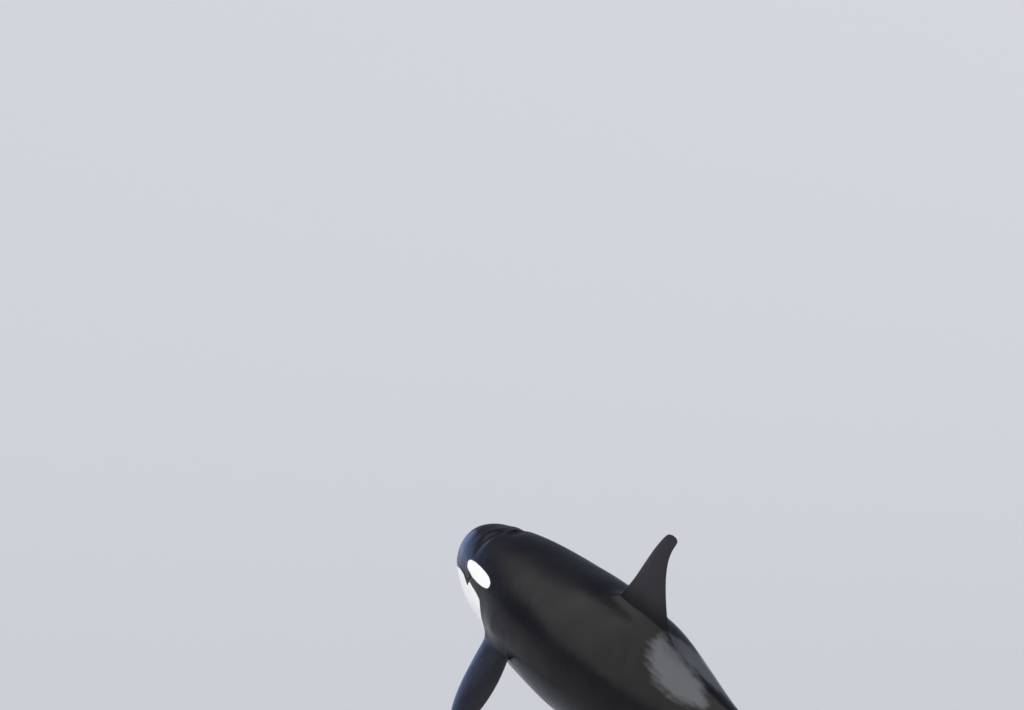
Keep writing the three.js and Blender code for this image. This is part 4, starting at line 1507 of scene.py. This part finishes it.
def eyeball_mesh(name, mirror):
    """A ball whose pole looks straight out of the head, with a raised front round the pole."""
    work = bmesh.new()
    bmesh.ops.create_uvsphere(work, u_segments=48, v_segments=40, radius=1)
    mesh = bpy.data.meshes.new(name)
    work.to_mesh(mesh)
    work.free()
    looks = coordinates(mesh)
    keep_on_mesh(mesh, "eye_place", looks)
    radius = EYE_RADIUS - LID_GAP + CLEAR_FRONT_RISE * ease(CLEAR_FRONT_FROM, 1, looks[:, 2])
    axes = np.stack([EYE_ALONG, EYE_UP, EYE_OUT])
    places = (EYE_MIDDLE + looks @ axes * radius[:, None]) * mirror
    mesh.vertices.foreach_set("co", pose(places).astype(np.float32).ravel())
    mesh.shade_smooth()
    mesh.update()
    return mesh

# %% Wet eye
IRIS_REACH = 0.50
PUPIL_HALF = (0.26, 0.15)
EYE_WHITE = "1a1211"
IRIS_BROWN = "1e120b"
IRIS_STREAK = "3a2415"
PUPIL_BLACK = "040405"
EYE_IOR = 1.38


def inside_oval(tree, place, half, blur):
    """One inside an oval round the middle of the eye, zero outside it."""
    shrunk = add(tree, "ShaderNodeMapping", inputs={"Vector": place, "Scale": (1 / half[0], 1 / half[1], 0)})
    length = add(tree, "ShaderNodeVectorMath", {"operation": "LENGTH"}, {0: shrunk.outputs[0]})
    inside = add(tree, "ShaderNodeMapRange", {"interpolation_type": "SMOOTHSTEP"}, {
        "Value": length.outputs["Value"], "From Min": 1 - blur, "From Max": 1 + blur,
        "To Min": 1.0, "To Max": 0.0,
    })
    return inside.outputs[0]


def eye_material():
    """White of the eye, iris and pupil over each other, under one clear wet coat."""
    material, tree = new_material("wet_brown_eye")
    place = add(tree, "ShaderNodeAttribute", {"attribute_name": "eye_place"}).outputs["Vector"]
    flat = add(tree, "ShaderNodeVectorMath", {"operation": "MULTIPLY"}, {0: place, 1: (1, 1, 0)})
    spoke = add(tree, "ShaderNodeVectorMath", {"operation": "NORMALIZE"}, {0: flat.outputs[0]})
    streaks = add(tree, "ShaderNodeTexNoise", inputs={
        "Vector": spoke.outputs[0], "Scale": 7.0, "Detail": 3.0,
    })
    iris = add(tree, "ShaderNodeMix", {"data_type": "RGBA"}, {
        "Factor": streaks.outputs["Fac"], "A": linear(IRIS_BROWN), "B": linear(IRIS_STREAK),
    })
    in_iris = inside_oval(tree, place, (IRIS_REACH, IRIS_REACH), 0.08)
    ball = add(tree, "ShaderNodeMix", {"data_type": "RGBA"}, {
        "Factor": in_iris, "A": linear(EYE_WHITE), "B": iris.outputs["Result"],
    })
    in_pupil = inside_oval(tree, place, PUPIL_HALF, 0.10)
    colour = add(tree, "ShaderNodeMix", {"data_type": "RGBA"}, {
        "Factor": in_pupil, "A": ball.outputs["Result"], "B": linear(PUPIL_BLACK),
    })
    surface = add(tree, "ShaderNodeBsdfPrincipled", inputs={
        "Base Color": colour.outputs["Result"], "Roughness": 0.35, "IOR": EYE_IOR,
        "Coat Weight": 1.0, "Coat Roughness": 0.03, "Coat IOR": EYE_IOR,
    })
    add(tree, "ShaderNodeOutputMaterial", inputs={"Surface": surface.outputs["BSDF"]})
    return material


eye_finish = eye_material()
for side, word in ((1, "left"), (-1, "right")):
    mesh = eyeball_mesh("eyeball_" + word, np.array([1, side, 1]))
    mesh.materials.append(eye_finish)
    eye = bpy.data.objects.new("eyeball_" + word, mesh)
    scene.collection.objects.link(eye)
    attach(eye, "root")
    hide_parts("eye_" + word)
    print(eye.name, "has", len(mesh.polygons), "faces")

# %% [markdown]
# The base of the stand is flat steel with a powder coat: paint put on as a dry powder and baked,
# matt dark grey, with a fine pebbled surface that keeps reflections dull. The real pebbles are
# about 1 mm. Here they are drawn 4 mm wide, so that they show. Dust lightens it in soft clouds
# about half a metre wide. The base's shape comes from the frame as it is.

# %% Powder coat
POWDER_GREY = "34373b"
POWDER_GREY_DUSTY = "3f4246"
PEBBLE_SIZE = 0.004
DUST_SIZE = 0.500


def powder_coat():
    material, tree = new_material("grey_powder_coat")
    place = add(tree, "ShaderNodeTexCoord").outputs["Object"]
    pebbles = add(tree, "ShaderNodeTexNoise", inputs={
        "Vector": place, "Scale": 1 / PEBBLE_SIZE, "Detail": 2.0,
    })
    dust = add(tree, "ShaderNodeTexNoise", inputs={"Vector": place, "Scale": 1 / DUST_SIZE, "Detail": 5.0})
    colour = add(tree, "ShaderNodeMix", {"data_type": "RGBA"}, {
        "Factor": dust.outputs["Fac"], "A": linear(POWDER_GREY), "B": linear(POWDER_GREY_DUSTY),
    })
    roughness = add(tree, "ShaderNodeMapRange", inputs={
        "Value": dust.outputs["Fac"], "From Min": 0.3, "From Max": 0.7, "To Min": 0.48, "To Max": 0.62,
    })
    bump = add(tree, "ShaderNodeBump", inputs={
        "Height": pebbles.outputs["Fac"], "Strength": 0.5, "Distance": 0.0006,
    })
    surface = add(tree, "ShaderNodeBsdfPrincipled", inputs={
        "Base Color": colour.outputs["Result"], "Roughness": roughness.outputs[0], "IOR": 1.5,
        "Normal": bump.outputs[0],
    })
    add(tree, "ShaderNodeOutputMaterial", inputs={"Surface": surface.outputs["BSDF"]})
    return material

# %% [markdown]
# The two rods and their round feet are stainless steel, brushed with a belt. That leaves fine
# lines along the rod, which spread each highlight into a streak. The real lines are finer than
# a tenth of a millimetre. Here they are drawn 3 mm wide and 300 mm long, so that they show.

# %% Brushed steel
STEEL = "b4b6b9"
STEEL_DULL = "96999d"
BRUSH_LINE_WIDTH = 0.003
BRUSH_LINE_LENGTH = 0.300


def brushed_steel():
    material, tree = new_material("brushed_stainless_steel")
    place = add(tree, "ShaderNodeTexCoord").outputs["Object"]
    stretched = add(tree, "ShaderNodeMapping", inputs={
        "Vector": place, "Scale": (1 / BRUSH_LINE_WIDTH, 1 / BRUSH_LINE_WIDTH, 1 / BRUSH_LINE_LENGTH),
    })
    lines = add(tree, "ShaderNodeTexNoise", inputs={
        "Vector": stretched.outputs[0], "Scale": 1.0, "Detail": 3.0,
    })
    colour = add(tree, "ShaderNodeMix", {"data_type": "RGBA"}, {
        "Factor": lines.outputs["Fac"], "A": linear(STEEL), "B": linear(STEEL_DULL),
    })
    roughness = add(tree, "ShaderNodeMapRange", inputs={
        "Value": lines.outputs["Fac"], "From Min": 0.3, "From Max": 0.7, "To Min": 0.24, "To Max": 0.38,
    })
    bump = add(tree, "ShaderNodeBump", inputs={
        "Height": lines.outputs["Fac"], "Strength": 0.3, "Distance": 0.0003,
    })
    surface = add(tree, "ShaderNodeBsdfPrincipled", inputs={
        "Base Color": colour.outputs["Result"], "Metallic": 1.0, "Roughness": roughness.outputs[0],
        "Normal": bump.outputs[0],
    })
    add(tree, "ShaderNodeOutputMaterial", inputs={"Surface": surface.outputs["BSDF"]})
    return material


# %% Finishes on the stand
coat, steel = powder_coat(), brushed_steel()
for name, node in frame["nodes"].items():
    if name.startswith("stand_"):
        for material_slot in node.material_slots:
            material_slot.material = coat if name == "stand_base" else steel
        print(name, "is finished with", node.material_slots[0].material.name)

# %% [markdown]
# The model stands in a plain pale studio. A flat floor would end in a horizon line behind the
# model, and a box would show its corners. Here the floor runs far out and curves up slowly all
# round, like a shallow dish, so no line shows from any side. It has matt emulsion paint, rolled
# on, which spreads the light evenly and hardly reflects.

# %% Studio floor
FLOOR_FLAT = 40.0
DISH_RADIUS = 180.0
DISH_HEIGHT = 26.0
DISH_STEPS = 32
AROUND = 96
FLOOR_PAINT = "d0d3d9"


def dish_profile():
    """Distance from the middle and height, along the floor and up the slow curve of the dish."""
    parts = np.linspace(0, 1, DISH_STEPS + 1)[1:]
    curve = [(FLOOR_FLAT + (DISH_RADIUS - FLOOR_FLAT) * t, DISH_HEIGHT * t**3) for t in parts]
    return [(FLOOR_FLAT / 2, 0), (FLOOR_FLAT, 0), *curve]


def studio_paint():
    material, tree = new_material("matt_studio_paint")
    surface = add(tree, "ShaderNodeBsdfPrincipled", inputs={
        "Base Color": linear(FLOOR_PAINT), "Roughness": 0.9, "Specular IOR Level": 0.1,
    })
    add(tree, "ShaderNodeOutputMaterial", inputs={"Surface": surface.outputs["BSDF"]})
    return material


def make_floor():
    """Rings of points round the middle of the floor, joined by faces."""
    points, faces = [(0, 0, 0)], []
    for radius, height in dish_profile():
        for k in range(AROUND):
            angle = 2 * math.pi * k / AROUND
            points.append((radius * math.cos(angle), radius * math.sin(angle), height))
    for k in range(AROUND):
        faces.append((0, 1 + k, 1 + (k + 1) % AROUND))
    for ring in range(len(dish_profile()) - 1):
        for k in range(AROUND):
            a, b = 1 + ring * AROUND + k, 1 + ring * AROUND + (k + 1) % AROUND
            faces.append((a, a + AROUND, b + AROUND, b))
    mesh = bpy.data.meshes.new("studio_floor")
    mesh.from_pydata(points, [], faces)
    mesh.shade_smooth()
    mesh.materials.append(studio_paint())
    floor = bpy.data.objects.new("studio_floor", mesh)
    scene.collection.objects.link(floor)
    print("the floor has", len(faces), "faces")


make_floor()

# %% [markdown]
# The light is soft. Very broad daylight falls from high on the animal's left, a dim blue sky
# fills the shade, and one blue lamp behind the head draws the pale rim along the melon. A small
# sun would throw hard shadows, and a ring of lamps would show as spots in the wet skin.

# %% Light
SKY = "c2d2ec"
SKY_STRENGTH = 0.30
DAYLIGHT = "fffaf3"
DAYLIGHT_STRENGTH = 3.3
DAYLIGHT_WIDTH = math.radians(90)
DAYLIGHT_HEIGHT = math.radians(52)
DAYLIGHT_AWAY = 20.0
RIM_BLUE = "a4c0ff"
RIM_LAMP_PLACE = (0.1, -15.4, 5.5)
RIM_LAMP_SPREAD = math.radians(100)
MODEL_MIDDLE = Vector((0, 0, 1.2))


def make_world():
    world = bpy.data.worlds.new("dim_blue_sky")
    scene.world = world
    world.use_nodes = True
    tree = world.node_tree
    tree.nodes.clear()
    light = add(tree, "ShaderNodeBackground", inputs={"Color": linear(SKY), "Strength": SKY_STRENGTH})
    add(tree, "ShaderNodeOutputWorld", inputs={"Surface": light.outputs["Background"]})


def make_light(name, kind, place, settings):
    """A light at a place, shining towards the middle of the model."""
    data = bpy.data.lights.new(name, kind)
    for key, value in settings.items():
        setattr(data, key, value)
    light = bpy.data.objects.new(name, data)
    scene.collection.objects.link(light)
    light.location = place
    aim = MODEL_MIDDLE - Vector(place)
    light.rotation_euler = aim.to_track_quat("-Z", "Y").to_euler()
    light.visible_camera = False


make_world()
make_light(
    "broad_daylight", "SUN",
    (DAYLIGHT_AWAY * math.cos(DAYLIGHT_HEIGHT), 0, DAYLIGHT_AWAY * math.sin(DAYLIGHT_HEIGHT)),
    {"energy": DAYLIGHT_STRENGTH, "angle": DAYLIGHT_WIDTH, "color": linear(DAYLIGHT)[:3]},
)
make_light(
    "blue_rim_lamp", "AREA", RIM_LAMP_PLACE,
    {
        "shape": "DISK", "size": 6.0, "energy": 58.0, "color": linear(RIM_BLUE)[:3],
        "spread": RIM_LAMP_SPREAD,
    },
)
scene.view_settings.view_transform = "Standard"
